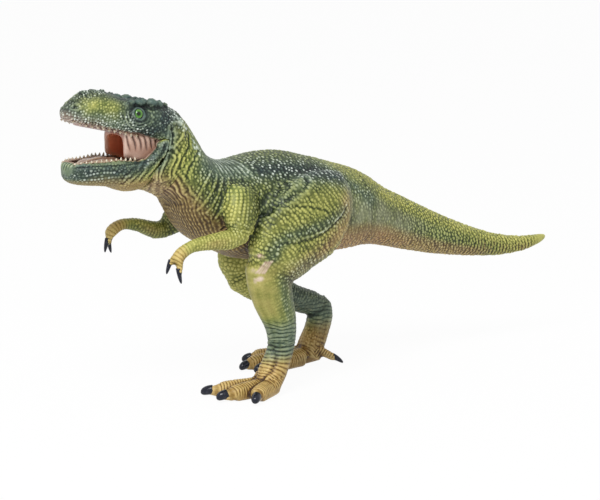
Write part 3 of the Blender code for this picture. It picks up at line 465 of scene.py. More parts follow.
groups += [(bead_string(inside, line, 1.6), 0.7) for line in ARM_ROWS]
groups.append((bead_string(inside, LIP_ROW, 1.5), 0.8))
for name, line in ROW_LINES.items():
    belongs, strung = of[name], name != "head"
    rows = ring_seeds(inside, line, lambda face: belongs[skin.quads[face][0]], ROW_LEANS.get(name, 0.0), strung)
    groups.append((rows, 0.58 if strung else 0.72))
dome, pitch, chance = pebbles(skin, groups, FILL_PITCH, FILL_TRIES)
x, y, z = skin.points.T
facing = skin.facing()
across, up = np.abs(y), facing[:, 2]


def patches(form, size):
    """An even cloud of values from 0 to 1 over a moulding, with patches of about this size."""
    lattice = np.random.default_rng(int(size * 100)).random((48, 48, 48))
    place = form.points / size
    low = np.floor(place).astype(int)
    part = place - low
    part = part * part * (3 - 2 * part)
    total = np.zeros(len(place))
    for i in (0, 1):
        for j in (0, 1):
            for k in (0, 1):
                share = (part[:, 0] if i else 1 - part[:, 0]) * (part[:, 1] if j else 1 - part[:, 1])
                corner = (low + (i, j, k)) % 48
                total += share * (part[:, 2] if k else 1 - part[:, 2]) * lattice[tuple(corner.T)]
    return total


def stray(form, amount, sizes):
    """Lets the lines that follow wander by this much, so that none of them looks ruled."""
    form.sway = amount * np.stack([patches(form, size) - 0.5 for size in sizes], axis=1)


def lay(form, name, amount):
    """Sprays more of a paint over what is there of it."""
    form.paint[name] = 1 - (1 - form.paint.get(name, 0.0)) * (1 - np.clip(amount, 0, 1))


# Torso
# One thick moulding from the neck to the hips. Its skin is creased at the throat, the shoulders and the flanks,
# sprayed green over yellow with a dark blue band along each side of the back, and browned on the belly, partly
# by a wash and partly as painted shade.
NECK_CREASES = (
    ((-69.9, 121.7), (-71.3, 116.6), (-74.9, 112.5), (-75.8, 108.1)),
    ((-75.7, 117.0), (-78.4, 111.9), (-80.1, 107.5), (-79.7, 102.8), (-76.9, 97.4), (-74.6, 93.9)),
    ((-80.9, 112.8), (-83.0, 105.3), (-79.2, 98.4), (-76.4, 93.7), (-73.3, 89.8)),
    ((-84.7, 105.0), (-83.0, 100.0), (-78.5, 95.2)),
    ((-66.1, 115.2), (-69.5, 110.4), (-72.1, 107.0), (-73.3, 102.5), (-72.2, 96.9)),
)
FLANK_CREASES = (
    ((-27.0, 97.0), (-33.2, 90.4), (-36.8, 85.2), (-48.5, 82.3), (-54.5, 78.9)),
    ((-38.0, 94.2), (-47.4, 88.4), (-53.0, 83.1), (-57.0, 79.1)),
    ((-23.9, 98.0), (-29.0, 93.3), (-33.0, 89.0)),
)
THIGH_CREASE = (
    (-16.0, 98.5), (-19.5, 95.8), (-29.9, 90.5), (-36.3, 86.1), (-45.4, 80.5), (-48.9, 74.4), (-46.5, 69.5),
)
BELLY_LINE = ((-77, 0, 88), (-66, 0, 76), (-55, 0, 68), (-40, 0, 62.5), (-24, 0, 60.5))
NECK_RIBS = (-57.5, -55.2, -52.8, -50.4, -48.0, -45.6, -43.2, -40.8)
small, middling, large = patches(skin, 1.4), patches(skin, 3.0), patches(skin, 7.0)

# Loose folds down the neck and creases at the flanks
stray(skin, 1.5, (3.4, 3.5, 3.6))
neck_gap, _ = skin.gap_to(NECK_CREASES[2], 16)
neck_side = ramp(neck_gap, 10.5, 5.5) * of["torso"] + ramp(neck_gap, 8.5, 4.5) * of["head"] * ramp(-x, 90, 86)
for line in NECK_CREASES:
    skin.fold(line, 0.6, 0.34, 0.3)
skin.height += 0.24 * neck_side * ramp(z, 88, 99) * ridges(neck_gap, 2.2)
stray(skin, 0.5, (2.7, 2.8, 2.9))
skin.height *= 0.3 + 1.2 * middling
smooth_arms = skin.height.copy()
for line in FLANK_CREASES:
    skin.fold(line, 0.55, 0.45, 0.4)
skin.height = np.where(arms, smooth_arms, skin.height)
skin.fold(THIGH_CREASE, 1.1, 0.65)
for line in SHOULDER_ROWS:
    skin.height += 0.3 * skin.brush(line, 0.8) * of["torso"]

# Thin ribs across the back of the neck, and woven wrinkles under the belly
back = ramp(up, 0.1, 0.6) * of["torso"] * ramp(z, 100, 104)
ribs = sum(fade(x - rib - 0.12 * across, 0.55) for rib in NECK_RIBS) * back * (0.4 + 0.9 * small)
skin.height += 0.2 * ribs
_, along = skin.gap_to(BELLY_LINE, 40)
under = ramp(-up, 0.05, 0.5) * of["torso"] * ramp(-x, 20, 32)
side_turn = across + 1.6 * middling + 0.8 * small + 0.12 * along
strips = (0.5 + 0.5 * ridges(side_turn, 1.6)) ** 1.5
cross = (0.5 + 0.5 * ridges(along + 0.8 * middling - 0.25 * across, 2.4)) ** 1.5
weave = np.clip(strips * (0.55 + 0.45 * cross) * (0.6 + 0.8 * small), 0, 1)
skin.height += under * (0.26 * weave - 0.12)
# How much of the scales' height is left on each place
plain = 1 - 0.85 * under
plain *= 1 - 0.35 * np.clip(neck_side, 0, 1)
plain *= 1 - 0.6 * back * ramp(-x, 38, 42)

BAND = (
    (-62.7, 108.5), (-50.0, 105.8), (-41.1, 104.1), (-29.6, 104.1), (-18.4, 103.4), (-9.7, 101.6), (-2.6, 100.7),
    (7.2, 97.9), (16, 93), (28, 86),
)
BAND_HEART = ((-33.0, 103.6), (-24.0, 103.6), (-14.0, 102.6), (-3.0, 100.9), (4.0, 98.6))
FLANK_SHADE = ((-24.9, 100.4), (-32.8, 93.8), (-39.1, 88.4), (-49.3, 84.3), (-56.2, 79.0))
SHOULDER_SHADE = ((-66.0, 108.0), (-70.0, 100.0), (-71.0, 92.0), (-66.0, 84.0))
NECK_SIDE = ((-76.0, 124.0), (-76.0, 116.0), (-79.0, 108.0), (-78.0, 100.0))
THROAT = ((-92.0, 102.7), (-85.2, 99.7), (-78.2, 94.3), (-73.1, 89.5), (-68.0, 80.0))
NAPE = ((-77.5, 131.9), (-75.2, 128.4), (-69.1, 123.3), (-67.1, 117.9), (-65.4, 113.5))
trunk = of["torso"] * ramp(x, -66, -50)
facing_down = ramp(-up, 0.1, 0.55) * of["torso"]
# The dark band along the back, and the teal of the neck
lay(skin, "teal", 0.85 * skin.brush(BAND, 5.0))
lay(skin, "navy", 0.9 * skin.brush(BAND_HEART, 3.2))
lay(skin, "teal", 0.62 * ramp(-x, 36, 46) * ramp(x, -70, -60) * ramp(z, 99, 105) * ramp(up, -0.1, 0.5))
# Deep green on the flank and shoulder, with yellow on the back and the side of the neck
lay(skin, "deep", 0.95 * skin.brush(FLANK_SHADE, 7.0))
lay(skin, "deep", 0.6 * sum(skin.brush(line, 3.0) for line in SHOULDER_ROWS) * of["torso"])
lay(skin, "deep", 0.8 * trunk * ramp(z, 72, 86) * ramp(x, 14, -4) * (0.55 + middling))
lay(skin, "yellow", 0.4 * trunk * ramp(x, 30, 10) * ramp(up, -0.2, 0.5) * ramp(middling, 0.4, 0.8))
lay(skin, "yellow", 0.6 * skin.brush(NECK_SIDE, 5.5) * (0.4 + 0.9 * middling))
lay(skin, "deep", 0.3 * skin.brush(NECK_SIDE, 7.0) * ramp(large, 0.35, 0.65))
lay(skin, "deep", 0.5 * skin.brush(SHOULDER_SHADE, 4.0) * of["torso"])
# A tan throat and belly, browned in the grooves of its wrinkles partly by a wash and partly as painted shade
lay(skin, "tan", 0.95 * skin.brush(THROAT, 6.0) * ramp(-up, -0.6, 0.15))
lay(skin, "scuff", 0.2 * skin.brush(THROAT, 4.5) * ramp(z, 92, 98))
lay(skin, "tan", 0.95 * facing_down)
lay(skin, "brown", under * (0.25 + 0.6 * (1 - weave)) * (1 - 0.8 * ramp(z, 92, 99)))
# Brown on the downward-facing belly is painted shade
lay(skin, "brown", 0.5 * ramp(-up, 0.0, 0.5) * of["torso"] * between(x, -52, -40, -20, -8))
# Dry-brushed white: how many scales are touched, and what is rubbed pale between them
specks = 0.38 * skin.paint["teal"] + 0.55 * skin.paint["navy"] + 0.16 * skin.paint["deep"]
specks += 0.9 * skin.brush(NAPE, 3.0)
dots = 0.4 * skin.paint["deep"] * of["torso"]
pale_ribs = 0.42 * ribs * ramp(across, 1.0, 3.0) * ramp(small, 0.25, 0.6)
scuffed = 0.7 * skin.brush(NAPE, 1.7) * ramp(small, 0.45, 0.62) * ramp(-x, 63, 66)

# Tail
# A long taper with fine scales at its root, that draw out into bead rings towards the tip, sprayed yellow-green
# above, grey-teal along the sides and tan below.
TAIL_LINE = ((60, 0, 65), (90, 0, 56), (120, 0, 51), (151, 0, 52))
RING_PITCH = 2.3
tail = of["tail"] | (of["torso"] & (x > 12))
tail_side = between(up, -0.8, -0.4, 0.05, 0.5)
lay(skin, "teal", 0.22 * ramp(x, 4, 16) * tail_side * ramp(x, 120, 80) * (0.5 + middling))
lay(skin, "putty", 0.95 * ramp(x, 2, 12) * tail_side * ramp(x, 76, 44) * (0.45 + 0.9 * middling))
lay(skin, "tan", 0.95 * ramp(-up, 0.12, 0.5) * between(x, 0, 10, 96, 122))
lay(skin, "rust", 0.75 * ramp(-up, 0.3, 0.6) * between(x, 2, 12, 36, 70) * (0.4 + middling))
lay(skin, "yellow", 0.5 * ramp(-up, 0.25, 0.5) * between(x, 50, 66, 92, 112) * ramp(middling, 0.3, 0.7))
lay(skin, "yellow", 0.85 * tail * ramp(up, 0.0, 0.55) * (0.5 + 0.8 * middling))
lay(skin, "yellow", 0.8 * ramp(x, 112, 132))
lay(skin, "deep", 0.24 * tail * (1 - ramp(x, 112, 132)) * ramp(up, 0.7, 0.1) * (0.4 + middling))
_, tail_along = skin.gap_to(TAIL_LINE, 40)
rings = (0.5 + 0.5 * ridges(tail_along, RING_PITCH)) ** 2
late = between(x, 80, 108, 141, 149)
skin.height += late * (0.26 * rings - 0.12) * (0.2 + 1.6 * small)
# Brown in the grooves between the rings, from the sides down: painted shade
lay(skin, "brown", 0.75 * late * (1 - rings) * ramp(-up, -0.7, 0.3) * (0.2 + 1.3 * middling))
plain *= 1 - 0.45 * ramp(x, 4, 12) * tail_side * ramp(x, 64, 44)
plain *= 1 - 0.9 * ramp(x, 140, 147)

# Head
# The skull and upper jaw, moulded with brow knobs, a pebbled snout ridge, eyelids, nostrils and cheek folds,
# sprayed teal and dark blue round an olive snout and dry-brushed white on the high points.
EYE = (-96.2, 133.2)
BROW = ((-101.5, 137.5), (-99.0, 138.4), (-95.0, 138.6), (-90.5, 138.8), (-84.1, 136.8))
EAR_SLIT = ((-79.9, 126.2), (-79.5, 122.6), (-79.8, 119.1))
EAR_RIM = ((-79.4, 128.4), (-76.0, 128.2), (-73.9, 126.5), (-74.1, 123.5), (-76.3, 120.5), (-79.3, 117.3))
EAR_FRONT = ((-82.0, 127.0), (-82.2, 122.0), (-81.9, 118.5))
JAW_MUSCLE = ((-86.5, 131.0), (-88.0, 127.0), (-89.0, 124.0))
NOSTRIL = (-124.0, 137.8)
LIP = (
    (-127.4, 132.6), (-124.8, 130.6), (-118.6, 129.1), (-113.8, 128.4), (-109.4, 127.9), (-102.9, 126.6),
    (-99.0, 124.6), (-92.0, 122.2), (-86.5, 121.4),
)
CHEEK = ((-76.5, 132.5), (-80.5, 131.8), (-86.0, 128.6), (-91.5, 125.2), (-98.0, 124.2))
CHEEK_KNOBS = ((-80.5, 131.5), (-86.0, 127.5), (-92.0, 124.6))
CHEEK_FRONT = ((-81.0, 122.5), (-82.0, 117.0), (-84.3, 112.5), (-86.8, 109.8))
SNOUT = ((-119.0, 137.6), (-114.0, 138.0), (-109.5, 136.6), (-107.5, 135.4))
skull = of["head"]
sides = skull & (across > 6)
socket = sides & (z < 141)

# Each eye is in a hollow between two lids, with bags below and behind it and curled folds in front
near_eye = np.hypot(x - EYE[0], z - EYE[1])
turn = np.arctan2(z - EYE[1], x - EYE[0])
lid = np.hypot((x - EYE[0]) / 1.2, z - EYE[1] + 0.16 * (x - EYE[0])) + 0.5 * (small - 0.5)
below, behind = ramp(-np.sin(turn + 0.3), -0.2, 0.5), ramp(np.cos(turn + 0.35), 0.2, 0.8)
front_low = ramp(np.cos(turn + 2.2), 0.1, 0.75) * socket
curls = ridges(near_eye + 1.2 * (middling - 0.5), 1.35)
skin.height -= socket * 1.1 * fade(near_eye, 1.7, 4)
skin.height += socket * (0.5 + 0.4 * ramp(np.sin(turn), -0.2, 0.8)) * fade(lid - 2.3, 0.5)
skin.height += socket * 0.18 * below * fade(lid - 3.5 - 1.2 * middling, 0.4)
skin.height += socket * 0.2 * behind * fade(lid - 4.8 - 1.4 * middling, 0.45)
skin.height += front_low * 0.2 * curls * between(near_eye, 3.8, 4.8, 7.0, 9.0)
plain *= 1 - 0.7 * socket * ramp(near_eye, 6.0, 4.0)

# Brow, jaw muscle, ear, nostrils and the lip, which is wrinkled at the tip of the snout
skin.height += 0.9 * sides * skin.brush(BROW, 1.5) + 0.5 * sides * skin.brush(JAW_MUSCLE, 3.2)
skin.height -= 1.1 * skin.brush(EAR_SLIT, 0.7)
skin.height += 0.7 * skin.brush(EAR_RIM, 0.8) + 0.4 * skin.brush(EAR_FRONT, 0.9)
nostril = np.hypot((x - NOSTRIL[0]) / 1.3, z - NOSTRIL[1])
rimmed_hole = 0.35 * fade(nostril - 1.5, 0.6) - 0.9 * fade(nostril, 0.9)
skin.height += skull * (across > 3) * rimmed_hole
lip_gap, lip_along = skin.gap_to(LIP, 12)
skin.height += 0.35 * skull * fade(lip_gap, 1.0)
tip_lip = fade(lip_gap, 2.6) * skull * ramp(-x, 110, 116)
skin.height += 0.22 * tip_lip * ridges(lip_along + 0.3 * z, 1.3)
# The scales stand taller on the crest and the cheek, and along the tail
crest = skull * ramp(z - (143.5 - 0.17 * np.abs(x + 108)), -1.4, 0.2) * ramp(-x, 72, 80)
rough = 1 + 2.2 * crest + skull * skin.brush(CHEEK_KNOBS, 3.0) + 0.45 * of["tail"] * ramp(x, 30, 60)

# Teal all over, and dark blue on the cheek, brow, crest, snout tip and round the eye
crown = ramp(z - (140.0 - 0.1 * np.abs(x + 108)), -1.5, 1.0)
lay(skin, "teal", 0.85 * skull * ramp(-x, 74, 84) * ramp(z, 119, 123))
lay(skin, "navy", 0.98 * skull * skin.brush(CHEEK, 5.2))
lay(skin, "navy", 0.85 * skull * skin.brush(BROW, 4.5) * ramp(-x, 74, 82))
lay(skin, "navy", 0.98 * skull * fade(near_eye, 4.8, 4))
lay(skin, "navy", 0.9 * skull * crown * ramp(-x, 74, 82))
lay(skin, "navy", 0.8 * skull * ramp(-x, 118, 123))
lay(skin, "navy", 0.35 * skull * ramp(-x, 90, 84) * ramp(z, 120, 126))
# The paint of the jaw runs on over the front of the cheek skin
lay(skin, "teal", 0.9 * skin.brush(CHEEK_FRONT, 3.4) * (across > 10))
lay(skin, "navy", 0.35 * skin.brush(CHEEK_FRONT, 2.4) * (across > 10))
# An olive patch on the snout, and the pink gum under the lip
snout = skin.brush(SNOUT, 4.8) * skull * (0.45 + 0.75 * large)
skin.paint["teal"] *= 1 - 0.95 * snout
skin.paint["navy"] *= 1 - 0.9 * snout
lay(skin, "yellow", 0.72 * snout * (0.2 + middling))
lip_height = np.interp(-x, *zip(*LIP_EDGE))
roof = skull & (z > 113) & (z < lip_height + 1.2) & (up < -0.25) & (x < -86) & (across < 12.5)
gums = skin.spread(roof.astype(float), 3)
lay(skin, "gum", 0.6 * tip_lip)
lay(skin, "gum", gums)
plain *= 1 - 0.95 * gums
lower_snout = skull * ramp(z, 136, 131) * ramp(-x, 96, 102)
lay(skin, "navy", 0.3 * lower_snout)
specks += 0.45 * skull * skin.brush(CHEEK, 3.4) + 0.6 * skull * front_low * ramp(near_eye, 11, 7)
specks -= 0.25 * skull * ramp(-x, 108, 100) * ramp(z, 128, 134)
specks += crest * (0.95 * ramp(-x, 98, 106) + 0.15) + 0.7 * lower_snout + 0.35 * skull * ramp(-x, 117, 123)
scuffed += 0.4 * lower_snout * ramp(dome, 0.15, 0.6) * (0.3 + middling)

# Arms
# Small two-fingered arms glued into the shoulders, yellow-green with rows of beads down the upper arm and
# smooth wrinkled fingers.
ARM_EDGES = (
    ((-54.7, 99.8), (-57.0, 94.2), (-59.7, 88.5), (-62.1, 82.3)),
    ((-44.1, 100.3), (-49.0, 95.0), (-52.6, 88.8), (-56.7, 81.7)),
)
ARM_BACK = ((80, -52.0), (88, -50.0), (94, -48.0), (100, -46.0))
near_arm, far_arm = of["left_arm"], of["right_arm"]
for line in ARM_EDGES:
    skin.fold(line, 0.7, 0.15, 0.2)
arm_rear = ramp(x - np.interp(z, *zip(*ARM_BACK)), -4.5, 2.0) * ramp(z, 78, 83)
skin.paint["deep"] *= 1 - 0.9 * near_arm * ramp(z, 99, 91)
lay(skin, "yellow", 0.85 * near_arm * ramp(z, 100, 88))
lay(skin, "deep", 0.75 * near_arm * arm_rear)
lay(skin, "yellow", 0.6 * far_arm * (ramp(up, -0.3, 0.5) + ramp(-x, 80, 88)))
lay(skin, "deep", 0.7 * far_arm * ramp(up, 0.3, -0.4) * ramp(x, -88, -80))
WRINKLE_PITCH = 1.5
FINGERS = {
    "left_arm": ((-74, -27, 75.5), (-83, -27, 73.5), (-87, -27, 70), (-88.9, -26.5, 66)),
    "right_arm": ((-74, 23, 77.5), (-84, 22.6, 78), (-89.5, 22.3, 75.5), (-92, 22, 71)),
}
for name, line in FINGERS.items():
    gap, along = skin.gap_to(line, 7)
    hand = of[name] * ramp(gap, 7, 5.5) * ramp(along, 3, 8)
    plain *= 1 - 0.9 * hand
    skin.height -= 0.16 * hand * (0.5 + 0.5 * ridges(along, WRINKLE_PITCH)) ** 4
    lay(skin, "gold", 0.75 * hand * ramp(along, 6, 13))

# Legs
# Each leg is one moulding with the thigh's scales in rows, a smooth shin, and wrinkled feet. The paint runs from
# yellow-green thighs through teal ankles to golden feet, and the knee that faces the front is scuffed.
MUSCLE = (
    (5.1, 87.2), (1.6, 83.4), (-4.3, 79.6), (-10.5, 76.4), (-17.3, 74.5), (-24.4, 73.6), (-31.2, 73.8),
    (-35.1, 72.5),
)
THIGH_SHADE = (
    (4.3, 84.4), (-3.1, 80.7), (-11.7, 78.7), (-19.9, 76.8), (-28.6, 75.2), (-35.8, 71.2), (-37.6, 66.6),
)
THIGH_LINE = ((-30.6, 88.5), (-23.2, 88.1), (-14.8, 86.7), (-8.2, 84.6))
HIP_REAR = ((8.5, 97.0), (9.0, 92.5), (9.3, 84.8), (8.8, 78.5), (5.8, 72.7), (0.5, 66.2))
HIP_SHADE = ((9.0, 95.0), (9.6, 86.0), (8.4, 79.0))
UNDER_THIGH = ((1.0, 72.3), (-13.0, 64.3), (-21.5, 57.8), (-25.7, 55.3))
REAR_THIGH = ((6.0, 88.0), (4.5, 80.0), (-1.0, 73.5), (-9.0, 66.5))
FLANK_EDGE = ((-16.0, 100.0), (-22.0, 96.0), (-30.0, 91.5), (-36.5, 87.5), (-43.0, 82.5), (-47.0, 77.0))
near_leg, far_leg = of["left_leg"], of["right_leg"]
thigh = legs * ramp(z, 52, 62)
muscle_ends = thigh * ramp(x, -27, -17)
shade = skin.brush(THIGH_SHADE, 3.0) * thigh
skin.height += 0.22 * skin.brush(MUSCLE, 0.5) * muscle_ends * ramp(middling, 0.15, 0.5)
skin.height -= 0.3 * skin.brush([(px - 0.8, pz - 1.6) for px, pz in MUSCLE], 0.8) * thigh
skin.fold(THIGH_LINE, 0.7, 0.25)
skin.fold(HIP_REAR, 1.6, 0.5, 0.2)

# Yellow-green thighs, dark along the muscle and towards the flank, and tan behind and below
lay(skin, "yellow", 0.75 * thigh * ramp(z, 100, 92) * (0.55 + 0.8 * middling))
lay(skin, "deep", 0.8 * skin.brush(THIGH_SHADE, 4.6) * thigh)
lay(skin, "teal", 0.45 * shade)
lay(skin, "tan", 0.85 * skin.brush(UNDER_THIGH, 5.6) * near_leg * (0.45 + 0.8 * middling))
lay(skin, "deep", 0.4 * thigh * ramp(z, 78, 95))
lay(skin, "deep", 0.75 * skin.brush(FLANK_EDGE, 3.8) * (1 - arms))
lay(skin, "teal", 0.3 * skin.brush(FLANK_EDGE, 4.0) * (1 - arms))
lay(skin, "tan", 0.85 * skin.brush(REAR_THIGH, 4.6) * near_leg * (0.4 + middling))
lay(skin, "putty", 0.5 * skin.brush(HIP_SHADE, 4.0) * (0.4 + middling))
skin.paint["yellow"] *= 1 - 0.6 * shade
skin.paint["deep"] *= 1 - 0.6 * far_leg
specks += 0.3 * skin.brush(THIGH_SHADE, 3.4) * thigh
# A pale line along the ridge of the thigh muscle: a painted highlight
muscle_highlight = 0.6 * skin.brush(MUSCLE, 0.2) * muscle_ends * ramp(-x, -7, 0) * ramp(middling, 0.3, 0.6)

# A smooth yellow shin that is teal behind, and teal ankles
shin_back = near_leg * ramp(facing[:, 0], -0.2, 0.2) * between(z, 18, 26, 60, 68)
shin_front = near_leg * ramp(facing[:, 0], 0.1, -0.3)
plain *= 1 - 0.5 * near_leg * ramp(z, 60, 50)
plain *= 1 - 0.8 * shin_front * between(z, 30, 36, 60, 66)
lay(skin, "teal", 0.5 * shin_back * ramp(facing[:, 0], 0.98, 0.8))
lay(skin, "yellow", 0.8 * shin_front * between(z, 34, 42, 60, 66))
lay(skin, "tan", 0.3 * shin_front * between(z, 34, 42, 58, 66) * (0.4 + middling))
lay(skin, "yellow", 0.5 * near_leg * ramp(x, -16, 0) * ramp(z, 60, 72))
lay(skin, "deep", 0.7 * near_leg * between(z, 16, 22, 30, 38))
lay(skin, "teal", 0.85 * near_leg * between(z, 14, 21, 30, 38))
lay(skin, "navy", 0.12 * near_leg * between(z, 16, 22, 28, 36))
lay(skin, "teal", 0.95 * far_leg * ramp(x, -8, 6) * between(z, 18, 25, 46, 58))
lay(skin, "navy", 0.4 * far_leg * ramp(x, -2, 10) * between(z, 22, 28, 40, 50))
lay(skin, "yellow", far_leg * ramp(x, 4, -7) * ramp(z, 30, 40))
specks += 0.4 * shin_back * ramp(z, 30, 36)
ankle = near_leg * between(z, 20, 25, 32, 38) + far_leg * between(z, 18, 22, 29, 34)
ankle_turn = z + 3.5 * (large - 0.5) + 1.6 * (middling - 0.5)
skin.height -= 0.26 * ankle * (1 - np.abs(np.sin(math.pi * ankle_turn / 1.9))) ** 2 * (0.3 + middling)
plain *= 1 - 0.6 * ankle

# The bones of the three long toes and the spur of each foot, from the ankle to the claw
TOES = (
    ((-27, -20, 27), (-29, -20, 14), (-36, -18, 6), (-54, -11.3, 4)),
    ((-28, -20, 27), (-31, -20.5, 14), (-38, -21, 6), (-54, -21.2, 4)),
    ((-28, -21, 27), (-29, -21.5, 14), (-35, -24, 6), (-46, -30.2, 4)),
    ((24, 22, 24), (20, 21.5, 12), (12, 19.5, 6), (-9, 15.5, 4)),
    ((24, 22, 24), (20, 22, 12), (12, 22.5, 6), (-11, 25.4, 4)),
    ((24, 22, 24), (20, 23, 12), (13, 25.5, 6), (-1, 36, 4)),
    ((-27.5, -16, 12), (-24, -10.5, 4)),
    ((22, 17, 9), (29, 12, 3)),
)
LONG_TOES = 6
reach = [skin.gap_to(line, 15) for line in TOES]
gaps, runs = np.stack([gap for gap, _ in reach]), np.stack([run for _, run in reach])
gaps[LONG_TOES:] += 6 * ramp(z, 7, 11) + 3
nearest_toe = gaps.argmin(0)
toe_gap, toe_run = gaps.min(0), np.take_along_axis(runs, nearest_toe[None], 0)[0]
closest = np.argsort(gaps, 0)[:2]
second_gap = np.take_along_axis(gaps, closest[1:], 0)[0]
foot = legs * ramp(z, 30, 22)
upper = ramp(up, -0.55, 0.0)
pebbled = far_leg * ramp(z, 8, 12)
# Wrinkles across the toes, deeper than those up the foot
slant = toe_run + 0.5 * (middling - 0.5) + 0.9 * (large - 0.5)
slant -= 0.35 * np.minimum(second_gap - toe_gap, 6) * ramp(z, 6, 12)
bands = np.abs(np.sin(math.pi * slant / np.where(z > 9, 2.0, 1.35))) ** 0.7
creases = (1 - bands) * (0.5 + 0.9 * small)
skin.height -= 0.34 * foot * creases * upper * (1 - 0.65 * pebbled)
# Clefts between the toes
first, other = np.sort(closest, 0)
beside = ((first == 1) & (other == 2)) | ((first == 4) & (other == 5))
cleft = legs * ramp(z, 28, 20) * fade(second_gap - toe_gap, 0.7) * (nearest_toe < LONG_TOES)
cleft = cleft * ramp(toe_gap, 8.5, 7) * upper * (0.45 + 0.55 * beside)
skin.height -= 0.75 * cleft * ramp(z, 3, 6)
plain *= 1 - (0.92 - 0.6 * pebbled) * foot
lay(skin, "gold", 0.9 * near_leg * ramp(z, 21, 11))
lay(skin, "gold", far_leg * ramp(z, 23, 13))
lay(skin, "tan", 0.5 * near_leg * ramp(z, 26, 18))
# Brown in the creases across the foot and in the clefts between the toes: painted shade
lay(skin, "brown", 0.6 * foot * creases * upper * (1 - 0.6 * pebbled))
lay(skin, "brown", 0.6 * cleft)
# The knee has lost its paint in spots of x, z and radius, and in a patch of scratches
SCUFFS = ((-42.6, 66.7, 1.3), (-45.9, 60.5, 1.4), (-44.3, 55.6, 1.3), (-42.6, 56.6, 1.2), (-46.2, 52.2, 0.9))
scuff = sum(fade(np.hypot(x - px, z - pz), r, 4) for px, pz, r in SCUFFS) * ramp(small, 0.15, 0.45)
for shift in (-1.4, -0.4, 0.6, 1.5):
    scuff += 0.9 * skin.brush(((-42.8 + shift, 59.2), (-39.4 + shift, 64.4)), 0.38)
lay(skin, "scuff", scuff * near_leg * ramp(-y, 24, 28))

# The claws: where each leaves its toe or finger, its tip and its radius
CLAWS = {
    "left_toe_claw_a": ((-57.0, -8.7, 3.3), (-60.2, -6.0, 2.2), 2.35),
    "left_toe_claw_b": ((-57.2, -20.5, 3.3), (-60.7, -19.6, 2.2), 2.4),
    "left_toe_claw_c": ((-48.3, -33.0, 3.3), (-51.0, -35.6, 2.2), 2.4),
    "right_toe_claw_a": ((-12.0, 15.8, 3.1), (-15.0, 16.0, 2.0), 2.2),
    "right_toe_claw_b": ((-14.3, 24.9, 3.1), (-17.4, 24.6, 2.0), 2.2),
    "right_toe_claw_c": ((-3.3, 37.6, 3.1), (-6.0, 39.5, 2.0), 2.2),
    "left_spur_claw": ((-23.8, -10.3, 4.6), (-22.9, -9.0, 1.6), 1.7),
    "right_spur_claw": ((29.6, 12.0, 3.6), (33.3, 10.5, 0.9), 1.5),
    "left_finger_claw_a": ((-88.7, -25.2, 68.2), (-90.4, -25.0, 63.6), 1.2),
    "left_finger_claw_b": ((-86.4, -28.8, 64.8), (-85.4, -29.0, 59.4), 1.2),
    "right_finger_claw_a": ((-93.2, 20.4, 72.0), (-94.4, 20.2, 67.2), 1.1),
    "right_finger_claw_b": ((-90.0, 23.6, 70.8), (-89.0, 23.8, 66.0), 1.1),
}
black = np.zeros(len(x))
for root, tip, radius in CLAWS.values():
    root, tip = np.array(root), np.array(tip)
    step = (tip - root) / np.linalg.norm(tip - root)
    along = (skin.points - root) @ step
    aside = np.linalg.norm(skin.points - root - along[:, None] * step, axis=1)
    on_claw = ramp(along, 0.2, 1.0) * ramp(aside, radius + 2.6, radius + 1.8) * ramp(along, 14, 12)
    black = np.maximum(black, on_claw)
skin.paint["claw"] = black
plain *= 1 - black

# All the skin, cut and painted: scales last, so that the wash and the painted shade settle between them
SINK, SCALE_HEIGHT = 0.12, 0.155
skin.height -= SINK
skin.raise_skin()
skin.height = SCALE_HEIGHT * pitch * dome * plain * rough * (0.75 + 0.5 * chance)
skin.raise_skin()
skin.points[:, 2] = np.maximum(skin.points[:, 2], 0)


# Low values darken every finish below in the grooves and hollows, as painted shade
def hollows(form, broadly=0.6):
    """How far each point stands out of the skin round it, from the grooves at 0 to the high points at 1."""
    out = form.facing()
    fine = ((form.points - form.spread(form.points, 6)) * out).sum(1)
    broad = ((form.points - form.spread(form.points, 30)) * out).sum(1)
    return np.clip(0.40 + 3.1 * fine + broadly * broad, 0, 1)


mottle = 0.34 * (chance - 0.5) * dome * plain + 0.2 * (middling - 0.5) + 0.2 * (large - 0.5)
skin.paint["relief"] = np.clip(hollows(skin, np.where(of["head"], 0.1, 0.4)) + mottle, 0, 1)
crown_of_scale = ramp(dome, 0.45, 0.85)
lay(skin, "yellow", 0.8 * dots * ramp(chance, 0.25, 0.4) * crown_of_scale * plain)
skin.paint["deep"] *= 1 - 0.8 * skin.paint["yellow"] * dots * crown_of_scale
touched = np.clip(specks, 0, 1) * ramp(chance, 0.52, 0.68) * ramp(dome, 0.55, 0.92) * plain
# The pale layer: dry-brushed white, rubbed pale marks, and the painted highlight on the thigh muscle
skin.paint["pale"] = np.clip(touched + pale_ribs + muscle_highlight + scuffed, 0, 1)
for name, amount in skin.paint.items():
    if name not in ("relief", "claw"):
        skin.paint[name] = amount * (1 - black)


def object_of(name, points, faces, paint):
    """A new piece from points in millimetres, with its paint layers as attributes."""
    mesh = bpy.data.meshes.new(name)
    mesh.from_pydata((points / 1000 + hips).tolist(), [], faces)
    for layer, values in paint.items():
        mesh.attributes.new(layer, "FLOAT", "POINT").data.foreach_set("value", values.astype(np.float32))
    mesh.update()
    mesh.shade_smooth()
    obj = bpy.data.objects.new(name, mesh)
    bpy.context.scene.collection.objects.link(obj)
    return obj


def part_off(form, node, material, body="figure", member=None):
    """Parts one moulding off the painted skin, closes its glue face, and puts it in place of its CAD node."""
    member = np.ones(len(form.points), bool) if member is None else member
    faces = form.quads[member[form.quads].sum(1) >= 3]
    used, faces = np.unique(faces, return_inverse=True)
    paint = {layer: values[used] for layer, values in form.paint.items()}
    obj = object_of(node + "_skin", form.points[used], faces.reshape(-1, 4).tolist(), paint)
    shell = bmesh.new()
    shell.from_mesh(obj.data)
    bmesh.ops.holes_fill(shell, edges=[edge for edge in shell.edges if edge.is_boundary], sides=0)
    shell.to_mesh(obj.data)
    shell.free()
    obj.data.shade_smooth()
    obj.data.materials.append(material)
    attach(obj, body)
    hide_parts(node)


